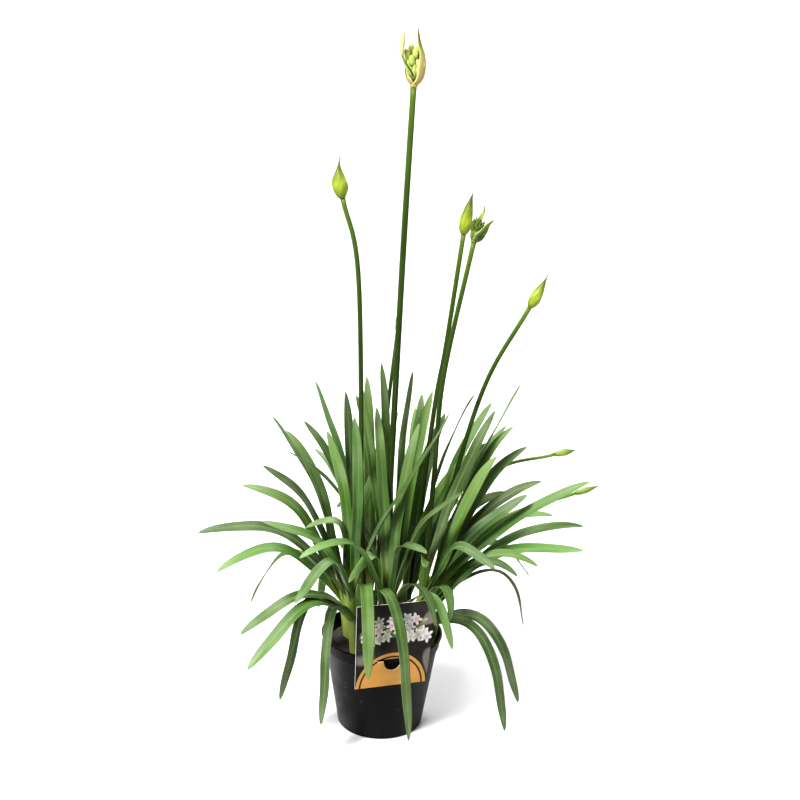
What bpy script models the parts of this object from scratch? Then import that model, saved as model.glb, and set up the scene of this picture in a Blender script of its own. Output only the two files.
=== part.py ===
"""An agapanthus in bud in its black nursery pot.

Eight leek-like shoots fan out into strap leaves, and eight flower stems (scapes) rise
between them: five end in closed spathes, one in a round beaked spathe, and two in
spathes that have split open round their florets. Soil fills the pot, and a printed
label card hangs on the rim at the front.

The frame is in metres: +Z up, -Y to the front, origin at the centre of the pot's base.
The figures below are millimetres.
"""

import math
import random

import bmesh
import bpy
from mathutils import Vector
from mathutils.bvhtree import BVHTree

MM = 0.001
GAP = 0.3
UP = Vector((0, 0, 1))

POT_HEIGHT = 105.0
POT_RIM = 65.0
POT_WALL = 1.5
POT_BASE = 46.0
POT_FLOOR = 1.8
INNER_FOOT = 45.5
INNER_TOP = 58.4
COLLAR_DROP = 12.5
COLLAR_IN = 2.6
DRAIN_HOLES = 8
DRAIN_RADIUS = 4.0
DRAIN_CIRCLE = 32.0
POT_SIDES = 32

SOIL_TOP = 91.0
HOLE_DEPTH = 15.0
SOIL_SIDES = 24

CARD_YAW = -16.0
CARD_ROLL = 3.0
CARD_TOP = 88.0
CARD_FOOT = 79.0
CARD_HEIGHT = 92.0
CARD_BELOW_RIM = 29.0
CARD_THICK = 0.6
CARD_OFFSET = -13.0
TONGUE_WIDTH = 18.0
TONGUE_DROP = 9.0
TONGUE_REACH = 9.4

LEAF_STATIONS = (0, 0.1, 0.2, 0.31, 0.43, 0.55, 0.67, 0.79, 0.89, 0.96, 1)
LEAF_THICK = 1.4
CLEARANCE = 0.8
FLOOR_CLEARANCE = 4.0
NECK_LENGTH = 66.0
NECK_BURIED = 13.0
NECK_SIZES = (0.9, 1.0, 0.94, 0.9, 0.66, 0.3)
LEAF_CHANNEL = 0.34
FIRST_LEAF = 14.0
LEAF_STEP = 4.5
MOST_SHIFTS = 70

# Each shoot: foot on the soil (x, y), lean of its neck (x, y per unit of height),
# azimuth of its fan in degrees, half widths of the neck, and its leaves.
# Each leaf: tip (x, y, z), lift and drop (its climb in degrees at the root and at the
# tip), arch (the reach of its bow), width, and roll at the tip in degrees.
SHOOTS = {
    "shoot_1": {
        "foot": (-27, -20), "lean": (-0.10, -0.12), "fan": 200, "neck": (9.0, 6.5),
        "leaves": (
            ((20, -106, 34), 70, -84, 150, 12.5, 0),
            ((-22, -98, 100), 70, -84, 122, 13.0, 0),
            ((-150, -72, 139), 58, -32, 84, 12.0, -25),
            ((-140, -84, 112), 52, -42, 88, 13.5, -24),
            ((-68, -82, 41), 48, -78, 112, 12.5, 10),
            ((-110, -52, 53), 50, -72, 104, 12.0, -25),
            ((-84, -28, 236), 66, -24, 80, 10.5, -25),
            ((-62, 4, 330), 80, 62, 90, 12.0, -31),
            ((-118, -30, 250), 70, 12, 80, 12.0, -31),
            ((-36, -20, 352), 86, 76, 90, 12.0, -10),
            ((-96, -104, 188), 62, -30, 84, 12.0, -12),
        ),
        "more": 1,
    },
    "shoot_2": {
        "foot": (4, -24), "lean": (-0.02, -0.14), "fan": 250, "neck": (8.5, 6.5),
        "leaves": (
            ((62, -98, 132), 64, -70, 88, 11.5, 6),
            ((-62, -88, 176), 64, -38, 84, 11.5, -19),
            ((22, -14, 349), 84, 74, 90, 12.5, 8),
            ((-8, 26, 352), 84, 70, 84, 12.0, 0),
            ((44, -104, 160), 66, -62, 72, 10.5, -8),
            ((72, -62, 286), 76, 36, 84, 12.5, 19),
            ((-92, -92, 214), 62, -12, 80, 12.5, -22),
            ((34, -88, 232), 72, 0, 78, 12.0, 14),
        ),
        "more": 1,
    },
    "shoot_3": {
        "foot": (33, -17), "lean": (0.12, -0.06), "fan": -20, "neck": (9.5, 6.5),
        "leaves": (
            ((144, -46, 40), 42, -74, 96, 13.0, 35),
            ((127, -66, 18), 38, -80, 96, 12.0, 35),
            ((137, -38, 183), 52, -46, 66, 11.0, 30),
            ((162, -22, 187), 54, -36, 74, 11.0, 30),
            ((112, -18, 309), 66, 52, 72, 15.0, 37),
            ((64, -68, 150), 60, -82, 60, 11.0, 0),
            ((206, -6, 206), 54, -12, 92, 12.0, 35),
            ((213, -14, 279), 56, 20, 80, 12.0, 35),
            ((146, -22, 268), 62, 34, 80, 13.0, 37),
            ((104, -84, 212), 58, -24, 82, 12.5, 24),
            ((-6, -66, 262), 66, 22, 80, 12.0, -24),
        ),
        "more": 1,
    },
    "shoot_4": {
        "foot": (45, 15), "lean": (0.14, 0.04), "fan": 12, "neck": (9.0, 6.0),
        "leaves": (
            ((220, 22, 214), 52, -8, 92, 11.0, 35),
            ((188, 34, 222), 58, -16, 82, 10.5, 35),
            ((132, 4, 334), 68, 44, 80, 13.0, 37),
            ((152, 22, 306), 64, 30, 80, 13.0, 37),
            ((137, 44, 246), 64, 2, 76, 11.0, 35),
            ((152, -12, 114), 40, -80, 92, 6.0, 10),
            ((176, 78, 130), 48, -54, 96, 12.0, 19),
            ((168, 40, 262), 62, 12, 84, 12.0, 35),
        ),
        "more": 1,
    },
    "shoot_5": {
        "foot": (10, 13), "lean": (0.02, 0.04), "fan": 60, "neck": (8.5, 6.5),
        "leaves": (
            ((-5, 36, 394), 84, 80, 96, 12.5, 0),
            ((28, 30, 387), 84, 78, 96, 12.5, -16),
            ((51, 42, 362), 80, 70, 96, 12.5, 25),
            ((86, 48, 344), 76, 56, 84, 12.5, 35),
            ((-30, 46, 356), 80, 66, 84, 12.5, -19),
            ((98, 24, 300), 72, 42, 84, 12.5, 37),
        ),
        "more": 2,
    },
    "shoot_6": {
        "foot": (-32, 18), "lean": (-0.14, 0.03), "fan": 160, "neck": (9.0, 6.5),
        "leaves": (
            ((-42, 32, 364), 84, 76, 96, 12.0, -12),
            ((-104, 30, 322), 72, 46, 84, 13.0, -35),
            ((-150, 44, 256), 62, 4, 92, 12.5, -35),
            ((-176, 8, 172), 54, -36, 92, 12.5, -31),
            ((-142, 92, 96), 48, -66, 100, 12.0, -19),
            ((-128, -6, 296), 68, 34, 88, 13.0, -35),
            ((-196, 30, 208), 56, -14, 96, 12.5, -35),
        ),
        "more": 2,
    },
    "shoot_7": {
        "foot": (-10, 41), "lean": (-0.05, 0.14), "fan": 105, "neck": (9.0, 6.5),
        "leaves": (
            ((-16, 84, 366), 80, 68, 92, 12.5, 0),
            ((-70, 130, 268), 66, 16, 92, 12.5, 8),
            ((-40, 176, 178), 56, -36, 96, 12.0, 0),
            ((-62, 148, 62), 46, -76, 112, 12.5, 0),
            ((14, 146, 58), 44, -78, 112, 12.5, 0),
            ((-84, 70, 320), 74, 48, 92, 12.5, -25),
        ),
        "more": 2,
    },
    "shoot_8": {
        "foot": (27, 37), "lean": (0.08, 0.12), "fan": 55, "neck": (9.0, 6.0),
        "leaves": (
            ((117, 52, 346), 72, 54, 88, 13.0, 31),
            ((127, 40, 330), 70, 46, 84, 13.0, 31),
            ((72, 128, 296), 70, 34, 92, 12.5, 12),
            ((110, 138, 196), 56, -24, 96, 12.5, 12),
            ((96, 142, 64), 44, -74, 108, 12.0, 0),
            ((46, 92, 344), 78, 62, 92, 12.5, 12),
        ),
        "more": 2,
    },
}

# Each scape: the points that it passes, from the soil to its head, and its radius at
# foot and head.
SCAPES = {
    "scape_1": (((3, 1), (3, 3, 190), (8, 9, 374), (12, 10, 528), (17, 10, 675)), 3.3, 2.9),
    "scape_2": (((27, 24), (49, 17, 340), (60, 22, 414), (74, 25, 531)), 2.7, 2.3),
    "scape_3": (((40, -3), (49, -7, 280), (55, -6, 389), (80, -5, 528)), 2.8, 2.3),
    "scape_4": (((53, -2), (64, 0, 233), (97, 0, 374), (141, 0, 462)), 2.7, 2.3),
    "scape_5": (((42, 31), (62, 36, 190), (119, 38, 271), (186, 40, 291)), 2.4, 1.8),
    "scape_6": (((54, -13), (70, -9, 178), (118, -2, 231), (202, 0, 261)), 2.4, 1.7),
    "scape_7": (((-6, 26), (2, 43, 309), (12, 47, 426)), 2.3, 1.8),
    "scape_8": (((-18, 0), (-25, 0, 258), (-33, 0, 490), (-50, 0, 569)), 2.7, 2.3),
}

# Each closed spathe: length, greatest width, where that width lies, how sharply it
# falls to its beak, and the bow of the beak (x, y).
BUDS = {
    "spathe_2": (42, 13.0, 0.25, 1.3, (3.0, 0)),
    "spathe_4": (40, 12.0, 0.25, 2.1, (-2.0, 0)),
    "spathe_5": (25, 6.0, 0.40, 1.6, (0, 0)),
    "spathe_6": (28, 6.0, 0.40, 1.8, (0, 0)),
    "spathe_7": (28, 6.5, 0.36, 1.8, (0, 0)),
    "spathe_8": (43, 15.4, 0.30, 3.0, (9.0, 1.0)),
}
SCAPE_STATIONS = (0, 0.06, 0.15, 0.25, 0.35, 0.45, 0.55, 0.65, 0.75, 0.84, 0.92, 1)
BUD_STATIONS = (0, 0.05, 0.13, 0.28, 0.42, 0.55, 0.68, 0.84, 1)

# Each split spathe: its bracts as (turn about the stem, width, and the places along and
# out from the stem that the bract passes), then its florets.
HEADS = {
    "1": {
        "bracts": (
            (-26, 17, ((7, 8.2), (17, 10.6), (30, 9.2), (43, 3.8), (57, 0.4))),
            (178, 13, ((6, 6.2), (12, 8.8), (19, 9.6))),
        ),
        "florets": 13, "length": 33, "spread": 31, "plump": 3.1, "stray": (-14, -8, 52),
    },
    "3": {
        "bracts": (
            (-34, 14, ((4, 7.5), (12, 11.0), (20, 12.5), (27, 16.5))),
            (200, 10, ((6, 5.4), (15, 4.0), (24, 0.8), (32, -2.8), (38, -2.2))),
        ),
        "florets": 5, "length": 14, "spread": 14, "plump": 1.6, "stray": None,
    },
}
BRACT_STATIONS = (0, 0.1, 0.22, 0.36, 0.52, 0.7, 0.87, 1)

COLOURS = {
    "pot": (0.012, 0.012, 0.013, 0.42),
    "soil": (0.030, 0.020, 0.013, 0.95),
    "card": (0.020, 0.020, 0.020, 0.45),
    "leaf": (0.085, 0.215, 0.045, 0.45),
    "scape": (0.090, 0.205, 0.040, 0.45),
    "spathe": (0.330, 0.440, 0.110, 0.50),
    "floret": (0.590, 0.640, 0.300, 0.50),
}


def clear_scene():
    for obj in list(bpy.data.objects):
        bpy.data.objects.remove(obj, do_unlink=True)


def material(kind):
    found = bpy.data.materials.get(kind)
    if found:
        return found
    made = bpy.data.materials.new(kind)
    made.use_nodes = True
    red, green, blue, rough = COLOURS[kind]
    shader = made.node_tree.nodes["Principled BSDF"]
    shader.inputs["Base Color"].default_value = (red, green, blue, 1)
    shader.inputs["Roughness"].default_value = rough
    shader.inputs["Metallic"].default_value = 0
    return made


def make_object(name, shape, kind):
    """A mesh object from (points in mm, faces), with its faces turned outward."""
    points, faces = shape
    mesh = bpy.data.meshes.new(name)
    mesh.from_pydata([Vector(p) * MM for p in points], [], faces)
    bm = bmesh.new()
    bm.from_mesh(mesh)
    bmesh.ops.recalc_face_normals(bm, faces=bm.faces)
    bm.to_mesh(mesh)
    bm.free()
    mesh.materials.append(material(kind))
    obj = bpy.data.objects.new(name, mesh)
    bpy.context.scene.collection.objects.link(obj)
    return obj


def islands(bm):
    """The mesh's separate shells, each a list of faces."""
    left = set(bm.faces)
    found = []
    while left:
        shell, edge = [], [left.pop()]
        while edge:
            face = edge.pop()
            shell.append(face)
            for side in face.edges:
                for other in side.link_faces:
                    if other in left:
                        left.remove(other)
                        edge.append(other)
        found.append(shell)
    return found


def shell_reach(shell):
    """How far the shell's faces lie from its first one: greatest on the outer shell."""
    first = shell[0].calc_center_median()
    return max((face.calc_center_median() - first).length for face in shell)


def keep_outer_shell(mesh):
    """Fills what a union has sealed inside the body, and drops loose scraps."""
    bm = bmesh.new()
    bm.from_mesh(mesh)
    shells = sorted(islands(bm), key=shell_reach)
    spare = [face for shell in shells[:-1] for face in shell]
    bmesh.ops.delete(bm, geom=spare, context="FACES")
    bm.to_mesh(mesh)
    bm.free()


def combine(obj, others, operation, solver="EXACT"):
    """Joins the other objects to obj, or cuts them from it, with one Boolean."""
    group = bpy.data.collections.new("tools")
    bpy.context.scene.collection.children.link(group)
    for other in others:
        bpy.context.scene.collection.objects.unlink(other)
        group.objects.link(other)
    step = obj.modifiers.new("combine", "BOOLEAN")
    step.operand_type = "COLLECTION"
    step.collection = group
    step.operation = operation
    step.solver = solver
    bpy.context.view_layer.update()
    graph = bpy.context.evaluated_depsgraph_get()
    mesh = bpy.data.meshes.new_from_object(obj.evaluated_get(graph))
    obj.modifiers.remove(step)
    keep_outer_shell(mesh)
    obj.data = mesh
    for other in others:
        bpy.data.objects.remove(other, do_unlink=True)
    bpy.data.collections.remove(group)
    return obj


def resample(points, stations):
    """Points at these fractions of the length of a fine polyline."""
    along = [0.0]
    for a, b in zip(points, points[1:]):
        along.append(along[-1] + (b - a).length)
    out = []
    i = 0
    for station in stations:
        want = station * along[-1]
        while i < len(points) - 2 and along[i + 1] < want:
            i += 1
        part = (want - along[i]) / max(along[i + 1] - along[i], 1e-9)
        out.append(points[i].lerp(points[i + 1], min(part, 1.0)))
    return out


def even(count):
    return [i / (count - 1) for i in range(count)]


def smooth_curve(knots, stations):
    """A Catmull-Rom curve through the knots."""
    knots = [Vector(k) for k in knots]
    knots = [knots[0] * 2 - knots[1]] + knots + [knots[-1] * 2 - knots[-2]]
    fine = []
    for a, b, c, d in zip(knots, knots[1:], knots[2:], knots[3:]):
        for t in even(17):
            fine.append(
                0.5
                * (
                    b * 2
                    + (c - a) * t
                    + (a * 2 - b * 5 + c * 4 - d) * t**2
                    + (b * 3 - a - c * 3 + d) * t**3
                )
            )
    return resample(fine, stations)


def leaf_curve(root, leaf, stations):
    """A bow from the root to the tip that starts at its lift and ends at its drop."""
    tip, lift, drop, arch = leaf[:4]
    root, tip = Vector(root), Vector(tip)
    heading = Vector((tip.x - root.x, tip.y - root.y, 0)).normalized()
    rise, fall = math.radians(lift), math.radians(drop)
    first = root + (heading * math.cos(rise) + UP * math.sin(rise)) * arch
    second = tip - (heading * math.cos(fall) + UP * math.sin(fall)) * arch * 0.9
    fine = []
    for t in even(49):
        u = 1 - t
        fine.append(root * u**3 + first * 3 * u * u * t + second * 3 * u * t * t + tip * t**3)
    return resample(fine, stations), UP.cross(heading)


def frames(path, side):
    """At each point: the point, the tangent, the direction across and the face."""
    out = []
    for i, point in enumerate(path):
        ahead = path[min(i + 1, len(path) - 1)] - path[max(i - 1, 0)]
        tangent = ahead.normalized()
        side = (side - tangent * side.dot(tangent)).normalized()
        out.append((point, tangent, side, tangent.cross(side)))
    return out


def leaf_width(s):
    """A strap: narrower at the root, widest past the middle, with a blunt point."""
    root = min(s / 0.4, 1.0)
    tip = max(0.0, (s - 0.62) / 0.38)
    return (0.66 + 0.34 * root * (2 - root)) * (1 - tip**3) ** 0.8


def blade(path, side, stations, width, thick, channel, roll, outline):
    """A channelled strap of four corners a ring: two edges, a hollow and a keel."""
    points = []
    for s, (point, _, across, face) in zip(stations[:-1], frames(path, side)):
        turn = math.radians(roll * min(1.0, s / 0.45))
        side_way = across * math.cos(turn) + face * math.sin(turn)
        up_way = face * math.cos(turn) - across * math.sin(turn)
        half = width * outline(s) / 2
        raised = up_way * (half * channel * (1 - 0.6 * s))
        points.append(point + side_way * half + raised)
        points.append(point + up_way * thick / 2)
        points.append(point - side_way * half + raised)
        points.append(point - up_way * thick / 2)
    points.append(path[-1])
    rings = len(stations) - 1
    faces = [(0, 1, 3), (2, 3, 1)]
    for i in range(rings):
        a, b = 4 * i, 4 * i + 4
        for edge in (0, 2):
            for middle in (1, 3):
                if i == rings - 1:
                    faces.append((a + edge, b, a + middle))
                else:
                    faces.append((a + edge, b + edge, b + middle))
                    faces.append((a + edge, b + middle, a + middle))
    return points, faces


def tube(path, radii, sides, side=Vector((1, 0, 0)), squash=1.0):
    """A closed tube along the path, round or oval."""
    points, faces = [], []
    for (point, _, across, face), radius in zip(frames(path, side), radii):
        for k in range(sides):
            angle = 2 * math.pi * (k + 0.5) / sides
            points.append(
                point
                + across * radius * math.cos(angle)
                + face * radius * squash * math.sin(angle)
            )
    for i in range(len(path) - 1):
        for k in range(sides):
            a, b = i * sides + k, i * sides + (k + 1) % sides
            faces.append((a, b, b + sides, a + sides))
    faces.append(tuple(reversed(range(sides))))
    faces.append(tuple(range((len(path) - 1) * sides, len(path) * sides)))
    return points, faces


def lathe(profile, sides):
    """A solid turned from (radius, height) corners that start and end on the axis."""
    points, faces = [Vector((0, 0, profile[0][1]))], []
    for radius, height in profile[1:-1]:
        for k in range(sides):
            angle = 2 * math.pi * k / sides
            points.append(Vector((radius * math.cos(angle), radius * math.sin(angle), height)))
    points.append(Vector((0, 0, profile[-1][1])))
    end = len(points) - 1
    rings = len(profile) - 2
    for k in range(sides):
        n = (k + 1) % sides
        faces.append((0, 1 + n, 1 + k))
        faces.append((end, 1 + (rings - 1) * sides + k, 1 + (rings - 1) * sides + n))
        for i in range(rings - 1):
            a = 1 + i * sides
            faces.append((a + k, a + n, a + sides + n, a + sides + k))
    return points, faces


def tree(shape):
    points, faces = shape
    return BVHTree.FromPolygons([tuple(p) for p in points], faces)


def mesh_tree(obj):
    mesh = obj.data
    return tree(([v.co / MM for v in mesh.vertices], [tuple(p.vertices) for p in mesh.polygons]))


def wall_radius(height):
    """The inner radius of the pot's tapered wall, between its floor and its collar."""
    share = (height - POT_FLOOR) / (POT_HEIGHT - COLLAR_DROP - 1.5 - POT_FLOOR)
    return INNER_FOOT + (INNER_TOP - INNER_FOOT) * share


def make_pot():
    step = POT_HEIGHT - COLLAR_DROP
    collar = POT_RIM - COLLAR_IN
    profile = [
        (0, 0), (POT_BASE - 1.2, 0), (POT_BASE, 1.2), (collar - 2.0, step - 1.5),
        (collar, step), (POT_RIM - 1.4, POT_HEIGHT - 2.6), (POT_RIM, POT_HEIGHT - 1.8),
        (POT_RIM, POT_HEIGHT - 0.6), (POT_RIM - 0.6, POT_HEIGHT),
        (POT_RIM - POT_WALL - 1.0, POT_HEIGHT), (collar - POT_WALL, step + 0.6),
        (collar - POT_WALL - 2.0, step - 1.4), (wall_radius(POT_FLOOR), POT_FLOOR),
        (0, POT_FLOOR),
    ]
    pot = make_object("pot", lathe(profile, POT_SIDES), "pot")
    drills = []
    for k in range(DRAIN_HOLES):
        angle = 2 * math.pi * (k + 0.5) / DRAIN_HOLES
        at = Vector((math.cos(angle), math.sin(angle), 0)) * DRAIN_CIRCLE
        path = [at - UP * 3, at + UP * 5]
        drills.append(make_object("drill", tube(path, [DRAIN_RADIUS] * 2, 12), "pot"))
    return combine(pot, drills, "DIFFERENCE")


def soil_height(x, y):
    radius = math.hypot(x, y) / 58.0
    bumps = math.sin(x * 0.13 + 1.2) * math.cos(y * 0.15 - 0.6)
    bumps += 0.6 * math.sin(x * 0.31 - y * 0.27)
    return SOIL_TOP + 2.4 * (1 - radius**2) + 0.9 * bumps * (1 - radius**4)


def make_soil(cutters):
    top_rings = (57.6, 52, 44, 35, 26, 17, 8)
    low = POT_FLOOR + GAP
    points, faces = [Vector((0, 0, low))], []
    rings = [
        (wall_radius(low) - 2 * GAP, low),
        (wall_radius(SOIL_TOP - 3) - 2 * GAP, SOIL_TOP - 3),
    ]
    for radius, height in rings + [(r, None) for r in top_rings]:
        for k in range(SOIL_SIDES):
            angle = 2 * math.pi * k / SOIL_SIDES
            x, y = radius * math.cos(angle), radius * math.sin(angle)
            points.append(Vector((x, y, soil_height(x, y) if height is None else height)))
    points.append(Vector((0, 0, soil_height(0, 0))))
    end = len(points) - 1
    count = len(rings) + len(top_rings)
    for k in range(SOIL_SIDES):
        n = (k + 1) % SOIL_SIDES
        faces.append((0, 1 + n, 1 + k))
        a = 1 + (count - 1) * SOIL_SIDES
        faces.append((end, a + k, a + n))
        for i in range(count - 1):
            a = 1 + i * SOIL_SIDES
            b = a + SOIL_SIDES
            faces.append((a + k, a + n, b + n))
            faces.append((a + k, b + n, b + k))
    soil = make_object("soil", (points, faces), "soil")
    return combine(soil, cutters, "DIFFERENCE")


def card_point(across, back, height):
    """A place on the card: across it, behind its front face, and above the pot's rim."""
    yaw, roll = math.radians(CARD_YAW), math.radians(CARD_ROLL)
    along = Vector((math.cos(yaw), -math.sin(yaw), 0))
    normal = Vector((-math.sin(yaw), -math.cos(yaw), 0))
    rolled_x = across * math.cos(roll) + height * math.sin(roll)
    rolled_z = -across * math.sin(roll) + height * math.cos(roll)
    face = POT_RIM + GAP + CARD_THICK - back
    return normal * face + along * (rolled_x + CARD_OFFSET) + UP * (POT_HEIGHT + rolled_z)


def card_prism(outline, front, back):
    """A flat plate of this outline between two depths behind the card's front."""
    count = len(outline)
    points = [card_point(x, depth, z) for depth in (front, back) for x, z in outline]
    faces = [tuple(range(count)), tuple(reversed(range(count, 2 * count)))]
    for k in range(count):
        n = (k + 1) % count
        faces.append((k, n, count + n, count + k))
    return points, faces


def slot_outline():
    """The die-cut opening under the rim: straight along the top, round at the foot."""
    half = TONGUE_WIDTH / 2 + 1.0
    out = [(-half - 7, 1.6), (-half - 7, -1.0)]
    for k in range(7):
        angle = math.pi * (1 + k / 6)
        out.append((half * math.cos(angle), -1.0 + 11.0 * math.sin(angle)))
    return out + [(half + 7, -1.0), (half + 7, 1.6)]


def make_card():
    foot, top = -CARD_BELOW_RIM, CARD_HEIGHT - CARD_BELOW_RIM
    corners = [
        (-CARD_FOOT / 2, foot),
        (CARD_FOOT / 2, foot),
        (CARD_TOP / 2, top),
        (-CARD_TOP / 2, top),
    ]
    card = make_object("label_card", card_prism(corners, 0, CARD_THICK), "card")
    cutter = make_object("slot", card_prism(slot_outline(), -2, 3), "card")
    combine(card, [cutter], "DIFFERENCE")
    half = TONGUE_WIDTH / 2
    bridge = [(-half, 1.1), (half, 1.1), (half, 2.2), (-half, 2.2)]
    flap = [
        (-half + 3, -TONGUE_DROP),
        (half - 3, -TONGUE_DROP),
        (half, 2.2),
        (-half, 2.2),
    ]
    pieces = [
        make_object("bridge", card_prism(bridge, 0.2, TONGUE_REACH), "card"),
        make_object("flap", card_prism(flap, TONGUE_REACH - 0.7, TONGUE_REACH), "card"),
    ]
    return combine(card, pieces, "UNION")


def scape_path(name, stations, extra=0.0):
    knots = SCAPES[name][0]
    foot = Vector((*knots[0], SOIL_TOP + 2))
    below = foot - (Vector(knots[1]) - foot).normalized() * (HOLE_DEPTH + extra)
    return smooth_curve([below, foot, *knots[1:]], stations)


def scape_shape(name, extra=0.0):
    path = scape_path(name, SCAPE_STATIONS, extra)
    foot, head = SCAPES[name][1:]
    radii = [foot + (head - foot) * s + extra for s in SCAPE_STATIONS]
    return tube(path, radii, 8)


def bud_radius(s, widest, fall, foot):
    """The outline of a closed spathe, from its foot to its beak, as a share of 1."""
    if s < widest:
        return foot + (1 - foot) * math.sin(s / widest * math.pi / 2) ** 0.7
    past = (s - widest) / (1 - widest)
    return 0.05 + 0.95 * max(math.cos(past * math.pi / 2), 0.0) ** fall


def bud_shape(name, extra=0.0):
    length, width, widest, fall, bow = BUDS[name]
    scape = name.replace("spathe", "scape")
    path = scape_path(scape, SCAPE_STATIONS)
    way = (path[-1] - path[-2]).normalized()
    start = path[-1] + way * GAP
    bend = Vector((bow[0], bow[1], 0))
    axis = [start + way * length * s + bend * s**3 for s in BUD_STATIONS]
    foot = (SCAPES[scape][2] + 0.5) / (width / 2)
    radii = [width / 2 * bud_radius(s, widest, fall, foot) + extra for s in BUD_STATIONS]
    return tube(axis, radii, 8)


def head_frame(number):
    path = scape_path("scape_" + number, SCAPE_STATIONS)
    way = (path[-1] - path[-2]).normalized()
    across = (Vector((1, 0, 0)) - way * way.x).normalized()
    return path[-1] + way * GAP, way, across, way.cross(across)


def bract_outline(s):
    """A boat: half its width at the foot, full by a third, then drawn to a point."""
    if s < 0.36:
        return 0.5 + 0.5 * math.sin(s / 0.36 * math.pi / 2)
    return (1 - (s - 0.36) / 0.64) ** 0.85


def bract_shape(number, bract):
    """One half of a split spathe: a boat that bulges away from the florets."""
    turn, width, places = bract
    start, way, across, depth = head_frame(number)
    angle = math.radians(turn)
    out = across * math.cos(angle) + depth * math.sin(angle)
    knots = [start + way * along + out * aside for along, aside in ((0.8, 1.8), *places)]
    path = smooth_curve(knots, BRACT_STATIONS)
    return blade(path, way.cross(out), BRACT_STATIONS, width, 1.1, 0.66, 0, bract_outline)


def make_spathe(number):
    start, way, across, _ = head_frame(number)
    radius = SCAPES["scape_" + number][2]
    path = [start, start + way * 1.4, start + way * 3]
    collar = tube(path, [radius + 0.6, radius + 1.3, radius + 0.4], 8, across)
    spathe = make_object("spathe_" + number, collar, "spathe")
    bracts = [
        make_object("bract", bract_shape(number, bract), "spathe")
        for bract in HEADS[number]["bracts"]
    ]
    return combine(spathe, bracts, "UNION")


def floret_shape(root, line, length, plump, extra=0.0):
    """A floret still shut: a thin stalk that swells to a plump blunt bud."""
    bud = min(13.0, length * 0.6) / length
    stations = (0, 1 - bud, 1 - 0.7 * bud, 1 - 0.3 * bud, 1)
    radii = [r + extra for r in (0.9, 1.1, plump * 0.92, plump, plump * 0.3)]
    return tube([root + line * length * s for s in stations], radii, 6, line.orthogonal())


def make_florets(number, spathe_tree):
    rng = random.Random(40 + int(number))
    head = HEADS[number]
    start, way, across, depth = head_frame(number)
    foot = start + way * (3 + GAP)
    core = tube([foot, foot + way * 3.5, foot + way * 7], [1.3, 1.9, 1.0], 8, across)
    florets = make_object("florets_" + number, core, "floret")
    pieces = []
    for k in range(head["florets"]):
        for attempt in range(40):
            turn = 2.399963 * k + rng.uniform(-0.3, 0.3) * (attempt > 0)
            share = (k + 0.4) / head["florets"]
            tilt = math.radians(head["spread"]) * math.sqrt(share) * (1 - 0.02 * attempt)
            out = across * math.cos(turn) + depth * math.sin(turn)
            line = way * math.cos(tilt) + out * math.sin(tilt)
            length = head["length"] * (1.1 - 0.55 * share) * rng.uniform(0.95, 1.05)
            root = foot + way * 3.0 + out * 0.5
            test = floret_shape(root, line, length, head["plump"], 0.4)
            if not tree(test).overlap(spathe_tree):
                shape = floret_shape(root, line, length, head["plump"])
                pieces.append(make_object("floret", shape, "floret"))
                break
    if head["stray"]:
        x, y, z = head["stray"]
        tip = start + across * x + depth * y + way * z
        knots = [foot + way * 3, foot + way * 11 - across * 4 - depth * 9, tip - way * 22, tip]
        path = smooth_curve(knots, (0, 0.25, 0.5, 0.6, 0.68, 0.92, 1))
        shape = tube(path, [0.9, 0.9, 0.9, 1.5, 2.7, 2.5, 0.8], 6, across)
        pieces.append(make_object("floret", shape, "floret"))
    return combine(florets, pieces, "UNION")


def neck_point(shoot, height):
    x, y = shoot["foot"]
    lean_x, lean_y = shoot["lean"]
    return Vector((x + lean_x * height, y + lean_y * height, SOIL_TOP + 2 + height))


def neck_shape(shoot, extra=0.0):
    fan = math.radians(shoot["fan"])
    wide, deep = shoot["neck"]
    path = [neck_point(shoot, -NECK_BURIED - extra)]
    path += [neck_point(shoot, share * NECK_LENGTH) for share in (0, 0.3, 0.6, 0.85, 1)]
    radii = [wide * size + extra for size in NECK_SIZES]
    side = Vector((math.cos(fan), math.sin(fan), 0))
    return tube(path, radii, 10, side, (deep + extra) / (wide + extra))


def leaf_shape(shoot, leaf, order, extra=0.0, first=0):
    stations = LEAF_STATIONS
    root = neck_point(shoot, FIRST_LEAF + LEAF_STEP * order)
    path, side = leaf_curve(root, leaf, stations)
    width, thick, roll = leaf[4] + 2 * extra, LEAF_THICK + 2 * extra, leaf[5]
    points, faces = blade(path, side, stations, width, thick, LEAF_CHANNEL, roll, leaf_width)
    if first:
        skip = 4 * first
        faces = [tuple(i - skip for i in f) for f in faces if min(f) >= skip]
        points = points[skip:]
    return points, faces


def rule_leaf(shoot, order, count, rng):
    """A leaf by rule: outer ones arch over and hang, inner ones stand."""
    inner = (order + rng.uniform(0.1, 0.9)) / count
    fan = math.radians(shoot["fan"] + (180 if rng.random() < 0.3 else 0) + rng.gauss(0, 34))
    reach = 168 - 92 * inner + rng.uniform(-14, 14)
    height = -40 + 290 * inner + rng.uniform(-20, 20)
    foot = neck_point(shoot, 30)
    tip = (
        foot.x + reach * math.cos(fan),
        foot.y + reach * math.sin(fan),
        max(foot.z + height, 14),
    )
    lift = 48 + 34 * inner
    drop = -78 + 150 * inner
    return tip, lift, drop, 96 - 10 * inner, rng.uniform(10, 12.5), rng.uniform(-16, 16)


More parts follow.
